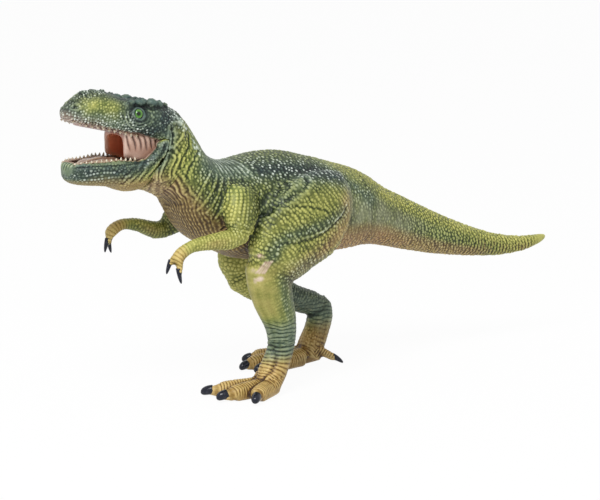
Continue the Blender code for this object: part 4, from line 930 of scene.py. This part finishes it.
class Finish:
    """A painted finish, made up from the first coat to the last."""

    def __init__(self, name, roughness, sheen=0.5):
        self.material = bpy.data.materials.new(name)
        self.material.use_nodes = True
        self.nodes, self.links = self.material.node_tree.nodes, self.material.node_tree.links
        self.surface = self.nodes["Principled BSDF"]
        self.surface.inputs["Specular IOR Level"].default_value = sheen
        self.surface.inputs["Roughness"].default_value = roughness
        self.place = self.nodes.new("ShaderNodeTexCoord").outputs["Object"]

    def layer(self, name):
        node = self.nodes.new("ShaderNodeAttribute")
        node.attribute_name = name
        return node.outputs["Fac"]

    def math(self, kind, *values, clamp=False):
        node = self.nodes.new("ShaderNodeMath")
        node.operation, node.use_clamp = kind, clamp
        for socket, value in zip(node.inputs, values):
            if isinstance(value, (int, float)):
                socket.default_value = value
            else:
                self.links.new(value, socket)
        return node.outputs[0]

    def uneven(self, layer, grain, share):
        """A paint layer made uneven by a grain."""
        swing = self.math("MULTIPLY_ADD", grain, share, -share / 2)
        return self.math("ADD", self.layer(layer), swing, clamp=True)

    def noise(self, grains_per_mm, detail=3.0):
        node = self.nodes.new("ShaderNodeTexNoise")
        node.inputs["Scale"].default_value = grains_per_mm * 1000
        node.inputs["Detail"].default_value = detail
        node.inputs["Roughness"].default_value = 0.6
        self.links.new(self.place, node.inputs["Vector"])
        return node.outputs["Fac"]

    def tones(self, value, *stops):
        """A colour from the grooves to the high points."""
        node = self.nodes.new("ShaderNodeValToRGB")
        self.links.new(value, node.inputs["Fac"])
        elements = node.color_ramp.elements
        while len(elements) < len(stops):
            elements.new(0.5)
        for element, (place, colour) in zip(elements, stops):
            element.position = place
            element.color = (*colour, 1)
        return node.outputs["Color"]

    def coat(self, under, over, amount):
        """Sprays one colour over another by this amount."""
        node = self.nodes.new("ShaderNodeMix")
        node.data_type = "RGBA"
        self.links.new(amount, node.inputs[0])
        self.links.new(under, node.inputs[6])
        self.links.new(over, node.inputs[7])
        return node.outputs[2]

    def show(self, channel, value):
        """Lets a channel of the surface, such as its colour, follow this value."""
        self.links.new(value, self.surface.inputs[channel])

    def bump(self, value, depth_mm, strength):
        node = self.nodes.new("ShaderNodeBump")
        node.inputs["Distance"].default_value = depth_mm / 1000
        node.inputs["Strength"].default_value = strength
        self.links.new(value, node.inputs["Height"])
        if self.surface.inputs["Normal"].is_linked:
            self.links.new(self.surface.inputs["Normal"].links[0].from_socket, node.inputs["Normal"])
        self.show("Normal", node.outputs["Normal"])


# Soft PVC under sprayed coats: each is dark in the grooves and hollows, partly a wash that settles there and
# partly painted shade, and pale on the high points
BARE_PVC = ((0.05, (0.02, 0.032, 0.006)), (0.4, (0.14, 0.18, 0.04)), (0.9, (0.46, 0.48, 0.13)))
COATS = (
    ("yellow", ((0.05, (0.06, 0.075, 0.012)), (0.4, (0.27, 0.275, 0.06)), (0.9, (0.56, 0.54, 0.16)))),
    ("deep", ((0.05, (0.010, 0.017, 0.004)), (0.42, (0.060, 0.079, 0.019)), (0.95, (0.235, 0.262, 0.07)))),
    ("putty", ((0.05, (0.08, 0.085, 0.045)), (0.4, (0.23, 0.235, 0.13)), (0.9, (0.42, 0.43, 0.24)))),
    ("tan", ((0.05, (0.07, 0.035, 0.010)), (0.4, (0.29, 0.20, 0.07)), (0.9, (0.56, 0.43, 0.18)))),
    ("rust", ((0.05, (0.06, 0.022, 0.008)), (0.4, (0.28, 0.145, 0.055)), (0.9, (0.56, 0.36, 0.15)))),
    ("brown", ((0.1, (0.035, 0.018, 0.007)), (0.6, (0.12, 0.07, 0.02)), (1.0, (0.30, 0.20, 0.07)))),
    ("gold", ((0.05, (0.055, 0.022, 0.005)), (0.4, (0.32, 0.19, 0.048)), (0.9, (0.66, 0.47, 0.19)))),
    ("teal", ((0.05, (0.008, 0.018, 0.012)), (0.42, (0.070, 0.110, 0.070)), (0.95, (0.33, 0.40, 0.27)))),
    ("navy", ((0.05, (0.002, 0.005, 0.006)), (0.5, (0.016, 0.030, 0.030)), (1.0, (0.075, 0.12, 0.105)))),
    ("gum", ((0.05, (0.10, 0.05, 0.04)), (0.5, (0.34, 0.22, 0.17)), (1.0, (0.52, 0.40, 0.32)))),
    ("scuff", ((0.05, (0.36, 0.22, 0.16)), (0.5, (0.60, 0.46, 0.36)), (1.0, (0.75, 0.66, 0.55)))),
    ("pale", ((0.05, (0.30, 0.38, 0.30)), (0.5, (0.54, 0.63, 0.54)), (1.0, (0.76, 0.82, 0.74)))),
    ("claw", ((0.05, (0.004, 0.006, 0.012)), (0.5, (0.010, 0.012, 0.022)), (1.0, (0.05, 0.05, 0.07)))),
)
PVC_ROUGHNESS, PVC_GLOSS_RANGE, CLAW_GLOSS = 0.46, 0.22, 0.24
pvc_paint = Finish("painted_pvc_skin", PVC_ROUGHNESS, 0.28)
cloud, grain, mist = pvc_paint.noise(0.16), pvc_paint.noise(1.6), pvc_paint.noise(0.55, 2)
relief = pvc_paint.uneven("relief", grain, 0.42)
cover = pvc_paint.math("MULTIPLY_ADD", mist, 0.9, 0.55)
colour = pvc_paint.tones(relief, *BARE_PVC)
for layer, stops in COATS:
    amount = pvc_paint.math("MULTIPLY", pvc_paint.layer(layer), cover, clamp=True)
    colour = pvc_paint.coat(colour, pvc_paint.tones(relief, *stops), amount)
pvc_paint.show("Base Color", colour)
gloss = pvc_paint.math("MULTIPLY_ADD", cloud, PVC_GLOSS_RANGE, PVC_ROUGHNESS - PVC_GLOSS_RANGE / 2)
on_claws = pvc_paint.math("MULTIPLY", pvc_paint.layer("claw"), CLAW_GLOSS)
pvc_paint.show("Roughness", pvc_paint.math("SUBTRACT", gloss, on_claws))
pvc_paint.bump(grain, 0.12, 0.5)
pvc_paint.bump(pvc_paint.noise(4.0, 2), 0.03, 0.4)

for name in SKIN_PIECES:
    part_off(skin, name, pvc_paint.material, member=of[name])

# Lower jaw
# A moulding of its own on the hinge pin, with a pebbled side, a folded chin and a gum that holds the teeth.
JAW_BRIDGE, JAW_VOXEL = 0.00005, 0.00032
# Places of -x and z on the rim of the jaw, of -z and x on the front edge of the cheek skin that lies over it,
# and of -x and the share of its full width that the gum has
RIM_EDGE = (
    (83, 117), (93, 114.0), (99, 113.2), (105.4, 113.7), (112, 113.3), (118.7, 113.3), (123.2, 113.0),
    (126, 112.2),
)
CHEEK_EDGE = ((-121, -81), (-116, -82.5), (-112, -84.8), (-108.8, -88.6), (-105.8, -92.0))
GUM_EDGE = ((93, 0.979), (99, 0.932), (105.4, 0.863), (112, 0.767), (118.7, 0.651), (123.2, 0.507), (126, 0.3))
JAW_HALF_WIDTH, GUM_SHARE = 14.6, 0.86
JAW_TEAL = (
    (-126.7, 109.9), (-121.2, 109.4), (-112.6, 109.8), (-103.6, 109.3), (-95.1, 112.2), (-88.2, 116.1),
    (-83.4, 117.6),
)
JAW_REAR = ((-104, 111), (-96, 112.5), (-89, 115))
JAW_UNDER = ((-117.6, 104.0), (-109.5, 104.6), (-100.0, 102.1), (-93.8, 101.1))
JAW_RIM = ((-129.5, 111.9), (-124.0, 112.9), (-116.0, 113.3), (-106.0, 113.1), (-97.0, 113.6), (-90.0, 114.6))
JAW_ROWS = (
    ((-126.3, 107.8), (-122.5, 107.4), (-119.1, 107.9), (-114.8, 108.6), (-108.0, 108.4)),
    ((-124.0, 105.8), (-117.0, 105.6), (-110.0, 106.2), (-103.0, 106.2)),
)
JAW_FOLDS = (
    ((-84.0, 118.5), (-86.5, 113.8), (-91.5, 109.0), (-95.5, 104.5)),
    ((-87.5, 117.5), (-90.5, 113.5), (-95.5, 108.5), (-99.5, 103.5)),
    ((-91.0, 115.5), (-94.5, 111.5), (-99.5, 107.0), (-104.0, 103.5)),
    ((-96.0, 113.0), (-100.0, 109.2), (-105.0, 106.0)),
)
CHIN_LINE = ((-84, 0, 112, 1.2), (-100, 0, 109.5, 1.15), (-116, 0, 109, 1.1), (-128, 0, 110, 1.0))

jaw = Skin(remeshed(welded_copy(("lower_jaw",), JAW_BRIDGE), JAW_VOXEL))
x, y, z = jaw.points.T
on_rim = z > np.interp(-x, *zip(*RIM_EDGE)) + 0.2
jaw.relax(50, np.where(on_rim & (x < -92), 0.85, 0.3))
x, y, z = jaw.points.T
# The ears draw in where the cheek skin lies over them
under_cheek = ramp(x - np.interp(-z, *zip(*CHEEK_EDGE)), -0.6, 0.8)
jaw.points[:, 1] -= np.sign(y) * under_cheek * np.clip(np.abs(y) - 12.9, 0, 9)
facing = jaw.facing()
up, across = facing[:, 2], np.abs(y)
outer = ramp(np.abs(facing[:, 1]), 0.15, 0.5) + ramp(-up, 0.2, 0.6) + ramp(-facing[:, 0], 0.4, 0.8)
outer = np.clip(outer, 0, 1) * ramp(across + 12 * ramp(-up, 0, 0.5), 4, 8)
on_gum = GUM_SHARE * JAW_HALF_WIDTH * np.interp(-x, *zip(*GUM_EDGE)) - across
on_gum = ramp(on_gum, -0.3, 0.5) * ramp(z, 106.5, 108) * ramp(-x, 124.5, 123.5)

tree = BVHTree.FromPolygons(jaw.points.tolist(), jaw.quads.tolist())
rows = ring_seeds(tree, CHIN_LINE, lambda face: outer[jaw.quads[face][0]] > 0.3, strung=False)
strings = [(bead_string(tree, line, 1.5), 0.8) for line in JAW_ROWS]
dome, pitch, chance = pebbles(jaw, strings + [(rows, 0.72)], 1.1, 30000)

# Folds towards the corner of the mouth, a rounded lip over a groove, and wrinkles inside
middling = patches(jaw, 3.0)
stray(jaw, 1.6, (2.7, 2.8, 2.9))
for line in JAW_FOLDS:
    jaw.fold(line, 0.75, 0.28)
jaw.sway = 0.0
jaw.height *= 0.3 + 1.2 * middling
rim_gap, _ = jaw.gap_to(JAW_RIM, 5)
jaw.height += 0.35 * fade(rim_gap, 0.8) * outer
jaw.height -= 0.35 * fade(rim_gap - 1.7, 0.6) * outer * (z < 113)
inside_jaw = ramp(up, 0.0, 0.5) * ramp(z, 104, 107) * (1 - outer)
jaw.height += 0.14 * inside_jaw * ridges(y + 0.4 * np.sin(x / 1.7), 1.9)

# Teal and dark blue sides, a tan chin and pink gums
lay(jaw, "teal", jaw.brush(JAW_TEAL, 4.8) * outer)
lay(jaw, "teal", 0.95 * ramp(-x, 117, 122) * ramp(z, 104.5, 106.5))
lay(jaw, "navy", 0.85 * jaw.brush(JAW_TEAL, 4.2) * outer * (0.45 + 0.8 * middling))
lay(jaw, "navy", 0.3 * jaw.brush(JAW_REAR, 2.5) * outer)
lay(jaw, "navy", 0.5 * ramp(-x, 114, 121) * ramp(z, 104.5, 107) * outer)
lay(jaw, "tan", 0.85 * jaw.brush(JAW_UNDER, 4.2) * outer)
lay(jaw, "tan", 0.9 * ramp(-up, 0.3, 0.7))
jaw.paint["teal"] *= 1 - on_gum
jaw.paint["navy"] *= 1 - on_gum
lay(jaw, "gum", on_gum)
jaw.height -= 0.1
jaw.raise_skin()
pebbly = np.clip(outer * ramp(up, 0.95, 0.7) * (1 - on_gum), 0, 1)
jaw.height = 0.13 * pitch * dome * pebbly
jaw.raise_skin()
# The jaw's grooves and hollows are painted darker: partly a wash, partly painted shade
jaw.paint["relief"] = np.clip(hollows(jaw, 0.3) + 0.2 * (middling - 0.5), 0, 1)
lucky = ramp(chance, 0.55, 0.7) * ramp(patches(jaw, 3.0), 0.35, 0.65)
string_dots = sum(jaw.brush(line, 1.0) for line in JAW_ROWS) * ramp(-x, 106, 112) * ramp(chance, 0.3, 0.5)
jaw.paint["pale"] = np.clip(0.4 * jaw.brush(JAW_TEAL, 3.2) * lucky + 0.5 * string_dots, 0, 1)
jaw.paint["pale"] *= ramp(dome, 0.4, 0.8) * pebbly
part_off(jaw, "lower_jaw", pvc_paint.material, "jaw")

# Mouth lining
# The soft pink insert of palate, throat and cheek skin, which is ribbed from top to bottom at the sides.
# The corner of the mouth, where the cheek skin is drawn back between the head and the ears of the jaw,
# is a plate of x, z and outer distance from the middle.
SOFT_BRIDGE, LINING_VOXEL = 0.00003, 0.00035
CORNER_OUTLINE = (
    (-97.0, 123.0, 9.3), (-90.0, 123.5, 10.1), (-81.0, 123.0, 10.1), (-79.5, 119.5, 10.1), (-82.0, 115.0, 10.1),
    (-88.0, 112.5, 10.1), (-97.0, 112.5, 9.3),
)
CORNER_THICK = 1.6
RIB_PITCH = 2.7
welded = welded_copy(("mouth_lining",), SOFT_BRIDGE, [(CORNER_OUTLINE, CORNER_THICK)])
lining = Skin(remeshed(welded, LINING_VOXEL))
lining.relax(70, 0.7)
x, y, z = lining.points.T
facing = lining.facing()
cheek = ramp(np.abs(facing[:, 1]), 0.3, 0.7)
outside = ramp(facing[:, 1] * np.sign(y), 0.0, 0.5)
ribbed = ramp(z, 115.5, 120.5)
lean = x + 0.2 * (z - 117) + 0.8 * (patches(lining, 5.0) - 0.5)
ribs = np.abs(np.cos(math.pi * lean / RIB_PITCH)) ** 0.6 * ribbed + 1 - ribbed
lining.height += cheek * (0.7 * ribs - 0.5) * (outside + 0.35 * (1 - outside) * ramp(x, -97, -92))
lining.height += (1 - cheek) * 0.15 * ridges(x, 1.9)
lining.raise_skin()
lining.paint = {
    "relief": hollows(lining), "outer": outside, "low": ramp(z, 124, 114), "front": 0.85 * ramp(-x, 98.5, 103),
}

lining_paint = Finish("painted_mouth_lining", 0.3, 0.6)
grain = lining_paint.noise(1.3)
relief = lining_paint.uneven("relief", grain, 0.3)
# The lining's tones run darker in its grooves and hollows, as painted shade
THROAT_RED = ((0.0, (0.55, 0.14, 0.07)), (0.5, (0.93, 0.33, 0.17)), (1.0, (0.95, 0.52, 0.34)))
LINING_COATS = (
    ("low", ((0.0, (0.55, 0.13, 0.06)), (0.5, (0.80, 0.24, 0.12)), (1.0, (0.85, 0.42, 0.26)))),
    ("outer", ((0.0, (0.07, 0.03, 0.02)), (0.40, (0.33, 0.18, 0.125)), (1.0, (0.66, 0.46, 0.36)))),
    ("front", ((0.0, (0.08, 0.05, 0.045)), (0.5, (0.24, 0.15, 0.13)), (1.0, (0.45, 0.34, 0.30)))),
)
colour = lining_paint.tones(relief, *THROAT_RED)
for layer, stops in LINING_COATS:
    colour = lining_paint.coat(colour, lining_paint.tones(relief, *stops), lining_paint.layer(layer))
lining_paint.show("Base Color", colour)
lining_paint.bump(grain, 0.1, 0.4)
part_off(lining, "mouth_lining", lining_paint.material)

# Tongue
# A soft humped moulding glued on the floor of the jaw, brown-pink, with a groove along its middle.
TONGUE_VOXEL = 0.00032
tongue = Skin(remeshed(welded_copy(("tongue",), SOFT_BRIDGE), TONGUE_VOXEL))
tongue.relax(40, 0.4)
x, y, z = tongue.points.T
top = ramp(tongue.facing()[:, 2], 0.1, 0.6)
tongue.height += top * (0.7 + 1.6 * (patches(tongue, 5.0) - 0.4) + 0.35 * (patches(tongue, 1.6) - 0.5))
tongue.height -= top * 0.5 * fade(y + 2.1, 0.8)
tongue.raise_skin()
tongue.paint["relief"] = hollows(tongue)
tongue_paint = Finish("painted_tongue", 0.28, 0.6)
grain = tongue_paint.noise(1.4)
# The tongue's tones run darker in its grooves and hollows, as painted shade
TONGUE_PINK = ((0.0, (0.10, 0.05, 0.035)), (0.5, (0.27, 0.17, 0.11)), (1.0, (0.46, 0.34, 0.24)))
tongue_paint.show("Base Color", tongue_paint.tones(tongue_paint.uneven("relief", grain, 0.3), *TONGUE_PINK))
tongue_paint.bump(grain, 0.08, 0.5)
part_off(tongue, "tongue", tongue_paint.material, "jaw")

# Eyes
# Glass-like painted domes set behind the lids: a green iris, darker at its rim, round a black pupil.
EYE_RADIUS, EYE_FLATNESS = 2.25, 0.85
EYE_RINGS, EYE_SIDES = 18, 40
EYE_DEPTH = 12.0
PUPIL_AND_IRIS = (
    (0.0, (0.001, 0.002, 0.001)), (0.30, (0.002, 0.003, 0.001)), (0.40, (0.03, 0.11, 0.010)),
    (0.66, (0.09, 0.28, 0.025)), (0.84, (0.18, 0.33, 0.08)), (0.95, (0.006, 0.012, 0.008)),
)


def tube_faces(rows, count):
    """Quads between rings of points, and a cap at both ends."""
    faces = []
    for row in range(rows - 1):
        for i in range(count):
            a, b = row * count + i, row * count + (i + 1) % count
            faces.append((a, b, b + count, a + count))
    return faces + [tuple(reversed(range(count))), tuple(range((rows - 1) * count, rows * count))]


def lathe(centre, axis, profile, count):
    """Points and faces of a shape turned about an axis, from (radius, height) pairs that start on the axis."""
    side = axis.orthogonal().normalized()
    other = axis.cross(side)
    points = []
    for radius, height in profile:
        for i in range(count):
            turn = 2 * math.pi * i / count
            points.append(centre + axis * height + (side * math.cos(turn) + other * math.sin(turn)) * radius)
    return np.array([tuple(point) for point in points]), tube_faces(len(profile), count)


eye_paint = Finish("glossy_eye", 0.07, 0.4)
ring = eye_paint.uneven("ring", eye_paint.noise(0.9, 2), 0.16)
eye_paint.show("Base Color", eye_paint.tones(ring, *PUPIL_AND_IRIS))
eye_paint.surface.inputs["Coat Weight"].default_value = 0.15
eye_paint.surface.inputs["Coat Roughness"].default_value = 0.03
for side_name, sign in (("near", -1), ("far", 1)):
    axis = Vector((-0.30, 0.93 * sign, 0.20)).normalized()
    centre = Vector((EYE[0], EYE_DEPTH * sign, EYE[1]))
    steps = [math.pi / 2 * i / EYE_RINGS for i in range(EYE_RINGS + 1)]
    profile = [
        (EYE_RADIUS * math.sin(t) + 0.02, EYE_RADIUS * math.cos(t) * EYE_FLATNESS) for t in reversed(steps)
    ]
    points, faces = lathe(centre, axis, profile, EYE_SIDES)
    gaze = centre + axis * EYE_RADIUS * EYE_FLATNESS
    ring = np.linalg.norm(points - np.array(gaze), axis=1) / EYE_RADIUS
    eye = object_of(side_name + "_eye", points, faces, {"ring": ring / 1.05})
    eye.data.materials.append(eye_paint.material)
    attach(eye, "figure")

# Teeth
# Short ivory cones in the gums of both jaws, stained brown at their roots. Each gum is given by its length, half
# width and height, and by places along it of share of the length, rise and share of the width.
GUM_START = (-83, 117)
UPPER_SIZE, UPPER_INSET = (44.3, 15, 22), 0.80
LOWER_SIZE, LOWER_INSET = (43, 14.6, 20), 0.84
UPPER_GUM = (
    (0.068, 0.127, 0.987), (0.18, 0.236, 0.953), (0.294, 0.3, 0.907), (0.429, 0.364, 0.847),
    (0.59, 0.445, 0.767), (0.75, 0.518, 0.667), (0.875, 0.582, 0.547), (0.958, 0.645, 0.373),
)
LOWER_GUM = (
    (0.233, -0.15, 0.979), (0.372, -0.19, 0.932), (0.52, -0.165, 0.863), (0.675, -0.185, 0.767),
    (0.83, -0.185, 0.651), (0.936, -0.2, 0.507), (1.0, -0.24, 0.3),
)
UPPER_TEETH, LOWER_TEETH = np.linspace(0.30, 0.94, 12), np.linspace(0.34, 0.96, 13)
TOOTH_SIDES, TOOTH_RINGS = 12, 9
IVORY = ((0.0, (0.20, 0.12, 0.06)), (0.35, (0.48, 0.40, 0.28)), (1.0, (0.70, 0.66, 0.54)))

tooth_paint = Finish("ivory_teeth", 0.22, 0.6)
stain = tooth_paint.uneven("height", tooth_paint.noise(1.1), 0.5)
tooth_paint.show("Base Color", tooth_paint.tones(stain, *IVORY))
tooth_paint.bump(tooth_paint.noise(2.2), 0.04, 0.5)


def tooth_roots(shares, gum, size, inset, sign):
    """Where the teeth of one row stand."""
    places, rises, widths = zip(*gum)
    return [
        (
            GUM_START[0] - size[0] * share,
            sign * size[1] * inset * np.interp(share, places, widths),
            GUM_START[1] + size[2] * np.interp(share, places, rises),
        )
        for share in shares
    ]


def row_of_teeth(name, roots, aim, length, radius, body):
    """Tapered teeth along one gum, each tilted a little at random, in one piece."""
    points, faces, height = [], [], []
    for i, root in enumerate(roots):
        long = length * (0.85 + 0.3 * dice.random()) * (1.1 - 0.5 * i / len(roots))
        wide = radius * (0.9 + 0.2 * dice.random())
        axis = (Vector(aim) + Vector((0.12 * dice.normal(), 0.12 * dice.normal(), 0))).normalized()
        rise = np.linspace(0, 1, TOOTH_RINGS)
        profile = [(0.02 + wide * (1 - t ** 1.6), long * t) for t in rise]
        tooth, tooth_faces = lathe(Vector(root) - axis * 0.5, axis, profile, TOOTH_SIDES)
        start = sum(map(len, points))
        points.append(tooth)
        faces += [tuple(start + v for v in face) for face in tooth_faces]
        height.append(np.repeat(rise, TOOTH_SIDES))
    obj = object_of(name, np.concatenate(points), faces, {"height": np.concatenate(height)})
    obj.data.materials.append(tooth_paint.material)
    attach(obj, body)


for side_name, sign in (("near", -1), ("far", 1)):
    upper = tooth_roots(UPPER_TEETH, UPPER_GUM, UPPER_SIZE, UPPER_INSET, sign)
    lower = tooth_roots(LOWER_TEETH, LOWER_GUM, LOWER_SIZE, LOWER_INSET, sign)
    row_of_teeth(side_name + "_upper_teeth", upper, (0.05, 0, -1), 1.45, 0.62, "figure")
    row_of_teeth(side_name + "_lower_teeth", lower, (0.05, 0, 1), 1.5, 0.6, "jaw")

# Claws
# Short thick cones at the ends of the toes and fingers, curved down and painted glossy black.
CLAW_ROWS, CLAW_SIDES = 16, 24
CLAW_BLACK = ((0.0, (0.004, 0.006, 0.012)), (0.55, (0.010, 0.012, 0.022)), (0.8, (0.05, 0.05, 0.07)))
claw_paint = Finish("glossy_black_claws", 0.2, 0.3)
scratch = claw_paint.noise(0.9)
claw_paint.show("Base Color", claw_paint.tones(scratch, *CLAW_BLACK))
claw_paint.show("Roughness", claw_paint.math("MULTIPLY_ADD", scratch, 0.3, 0.06))
claw_paint.bump(claw_paint.noise(0.7, 2), 0.12, 0.5)


def claw(name, root, tip, radius):
    """One claw from its root inside the toe to its blunt tip, arched upwards between them."""
    root, tip = Vector(root), Vector(tip)
    axis = (tip - root).normalized()
    side = axis.cross(Vector((0, 0, 1)))
    side = (side if side.length > 0.3 else axis.cross(Vector((-1, 0, 0)))).normalized()
    top = side.cross(axis)
    root = root - axis * 1.5
    length = (tip - root).length + 0.25
    blunt = 3.2 if radius > 2 else 1.6
    points = []
    for row in range(CLAW_ROWS):
        t = row / (CLAW_ROWS - 1)
        centre = root + axis * length * t + top * 0.10 * radius * 4 * t * (1 - t)
        wide = radius * math.sqrt(max(1 - t ** blunt, 0)) + 0.02
        for i in range(CLAW_SIDES):
            turn = 2 * math.pi * i / CLAW_SIDES
            tall = 1.0 if math.sin(turn) > 0 else 0.85
            points.append(centre + side * wide * 0.92 * math.cos(turn) + top * wide * tall * math.sin(turn))
    points = np.array([tuple(point) for point in points])
    points[:, 2] = np.maximum(points[:, 2], 0.02)
    obj = object_of(name, points, tube_faces(CLAW_ROWS, CLAW_SIDES), {})
    obj.data.materials.append(claw_paint.material)
    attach(obj, "figure")


for name, (root, tip, radius) in CLAWS.items():
    claw(name, root, tip, radius)

# Hinge pin
# Drawn steel wire, cut to length and pressed through the head and the ears of the jaw.
steel = Finish("drawn_steel", 0.3)
steel.surface.inputs["Metallic"].default_value = 1.0
grain = steel.noise(0.8)
steel.show("Base Color", steel.tones(grain, (0.0, (0.42, 0.42, 0.43)), (1.0, (0.64, 0.64, 0.65))))
steel.show("Roughness", steel.math("MULTIPLY_ADD", grain, 0.25, 0.2))
steel.bump(grain, 0.02, 0.5)
for place in frame["nodes"]["jaw_pin"].material_slots:
    place.material = steel.material

# Studio
# A plain white sweep under a soft box, seen from the figure's front left, in metres from the frame's origin.
CAMERA_PLACE = (-0.6503, -0.8785, 0.2523)
CAMERA_AIM = (-0.0135, -0.0021, 0.0613)
SENSOR_WIDTH, LENS = 36, 140.6
FLOOR_REACH = 3
FLOOR_WHITE, WHITE_SHARE = 0.95, 0.95
AIR_LIGHT = 0.5
LAMP_PLACE, LAMP_AIM = (-0.9, -0.7, 1.2), (0, 0, 0.07)
LAMP_SIZE, LAMP_WATTS = 0.6, 19


def in_studio(name, data, place, aim):
    """A camera or lamp at this place, turned towards the aim."""
    obj = bpy.data.objects.new(name, data)
    obj.location = place
    obj.rotation_mode = "QUATERNION"
    obj.rotation_quaternion = (Vector(aim) - Vector(place)).to_track_quat("-Z", "Y")
    bpy.context.scene.collection.objects.link(obj)
    return obj


camera = in_studio("camera", bpy.data.cameras.new("camera"), CAMERA_PLACE, CAMERA_AIM)
camera.data.sensor_width = SENSOR_WIDTH
camera.data.lens = LENS
camera.data.clip_start = 0.01
bpy.context.scene.camera = camera

floor_mesh = bpy.data.meshes.new("floor")
corners = [(-FLOOR_REACH, -FLOOR_REACH, 0), (FLOOR_REACH, -FLOOR_REACH, 0)]
corners += [(FLOOR_REACH, FLOOR_REACH, 0), (-FLOOR_REACH, FLOOR_REACH, 0)]
floor_mesh.from_pydata(corners, [], [(0, 1, 2, 3)])
floor = bpy.data.objects.new("floor", floor_mesh)
bpy.context.scene.collection.objects.link(floor)
# The floor keeps a little of its shadow, and is white for the rest where the camera or a gloss sees it
floor_paint = Finish("floor_white", 0.9)
floor_paint.surface.inputs["Base Color"].default_value = (FLOOR_WHITE, FLOOR_WHITE, FLOOR_WHITE, 1)
floor_mesh.materials.append(floor_paint.material)
rays = floor_paint.nodes.new("ShaderNodeLightPath")
seen = floor_paint.math("MAXIMUM", rays.outputs["Is Camera Ray"], rays.outputs["Is Glossy Ray"])
glow = floor_paint.nodes.new("ShaderNodeEmission")
glow.inputs["Strength"].default_value = 1.0
faded = floor_paint.nodes.new("ShaderNodeMixShader")
floor_paint.links.new(floor_paint.math("MULTIPLY", seen, WHITE_SHARE), faded.inputs["Fac"])
floor_paint.links.new(floor_paint.surface.outputs[0], faded.inputs[1])
floor_paint.links.new(glow.outputs[0], faded.inputs[2])
floor_paint.links.new(faded.outputs[0], floor_paint.nodes["Material Output"].inputs["Surface"])

# The air round the figure is white to the camera, and lights the figure more softly than that
world = bpy.data.worlds.new("studio")
bpy.context.scene.world = world
world.use_nodes = True
air = world.node_tree
rays = air.nodes.new("ShaderNodeLightPath")
white = air.nodes.new("ShaderNodeBackground")
white.inputs["Color"].default_value = (1, 1, 1, 1)
white.inputs["Strength"].default_value = 1.0
air_light = air.nodes["Background"]
air_light.inputs["Color"].default_value = (1, 1, 1, 1)
air_light.inputs["Strength"].default_value = AIR_LIGHT
either = air.nodes.new("ShaderNodeMath")
either.operation = "MAXIMUM"
shown = air.nodes.new("ShaderNodeMixShader")
air.links.new(rays.outputs["Is Camera Ray"], either.inputs[0])
air.links.new(rays.outputs["Is Glossy Ray"], either.inputs[1])
air.links.new(either.outputs[0], shown.inputs["Fac"])
air.links.new(air_light.outputs[0], shown.inputs[1])
air.links.new(white.outputs[0], shown.inputs[2])
air.links.new(shown.outputs[0], air.nodes["World Output"].inputs["Surface"])

lamp = in_studio("key_light", bpy.data.lights.new("key_light", "AREA"), LAMP_PLACE, LAMP_AIM)
lamp.data.shape = "SQUARE"
lamp.data.size = LAMP_SIZE
lamp.data.energy = LAMP_WATTS
bpy.context.scene.view_settings.view_transform = "Standard"
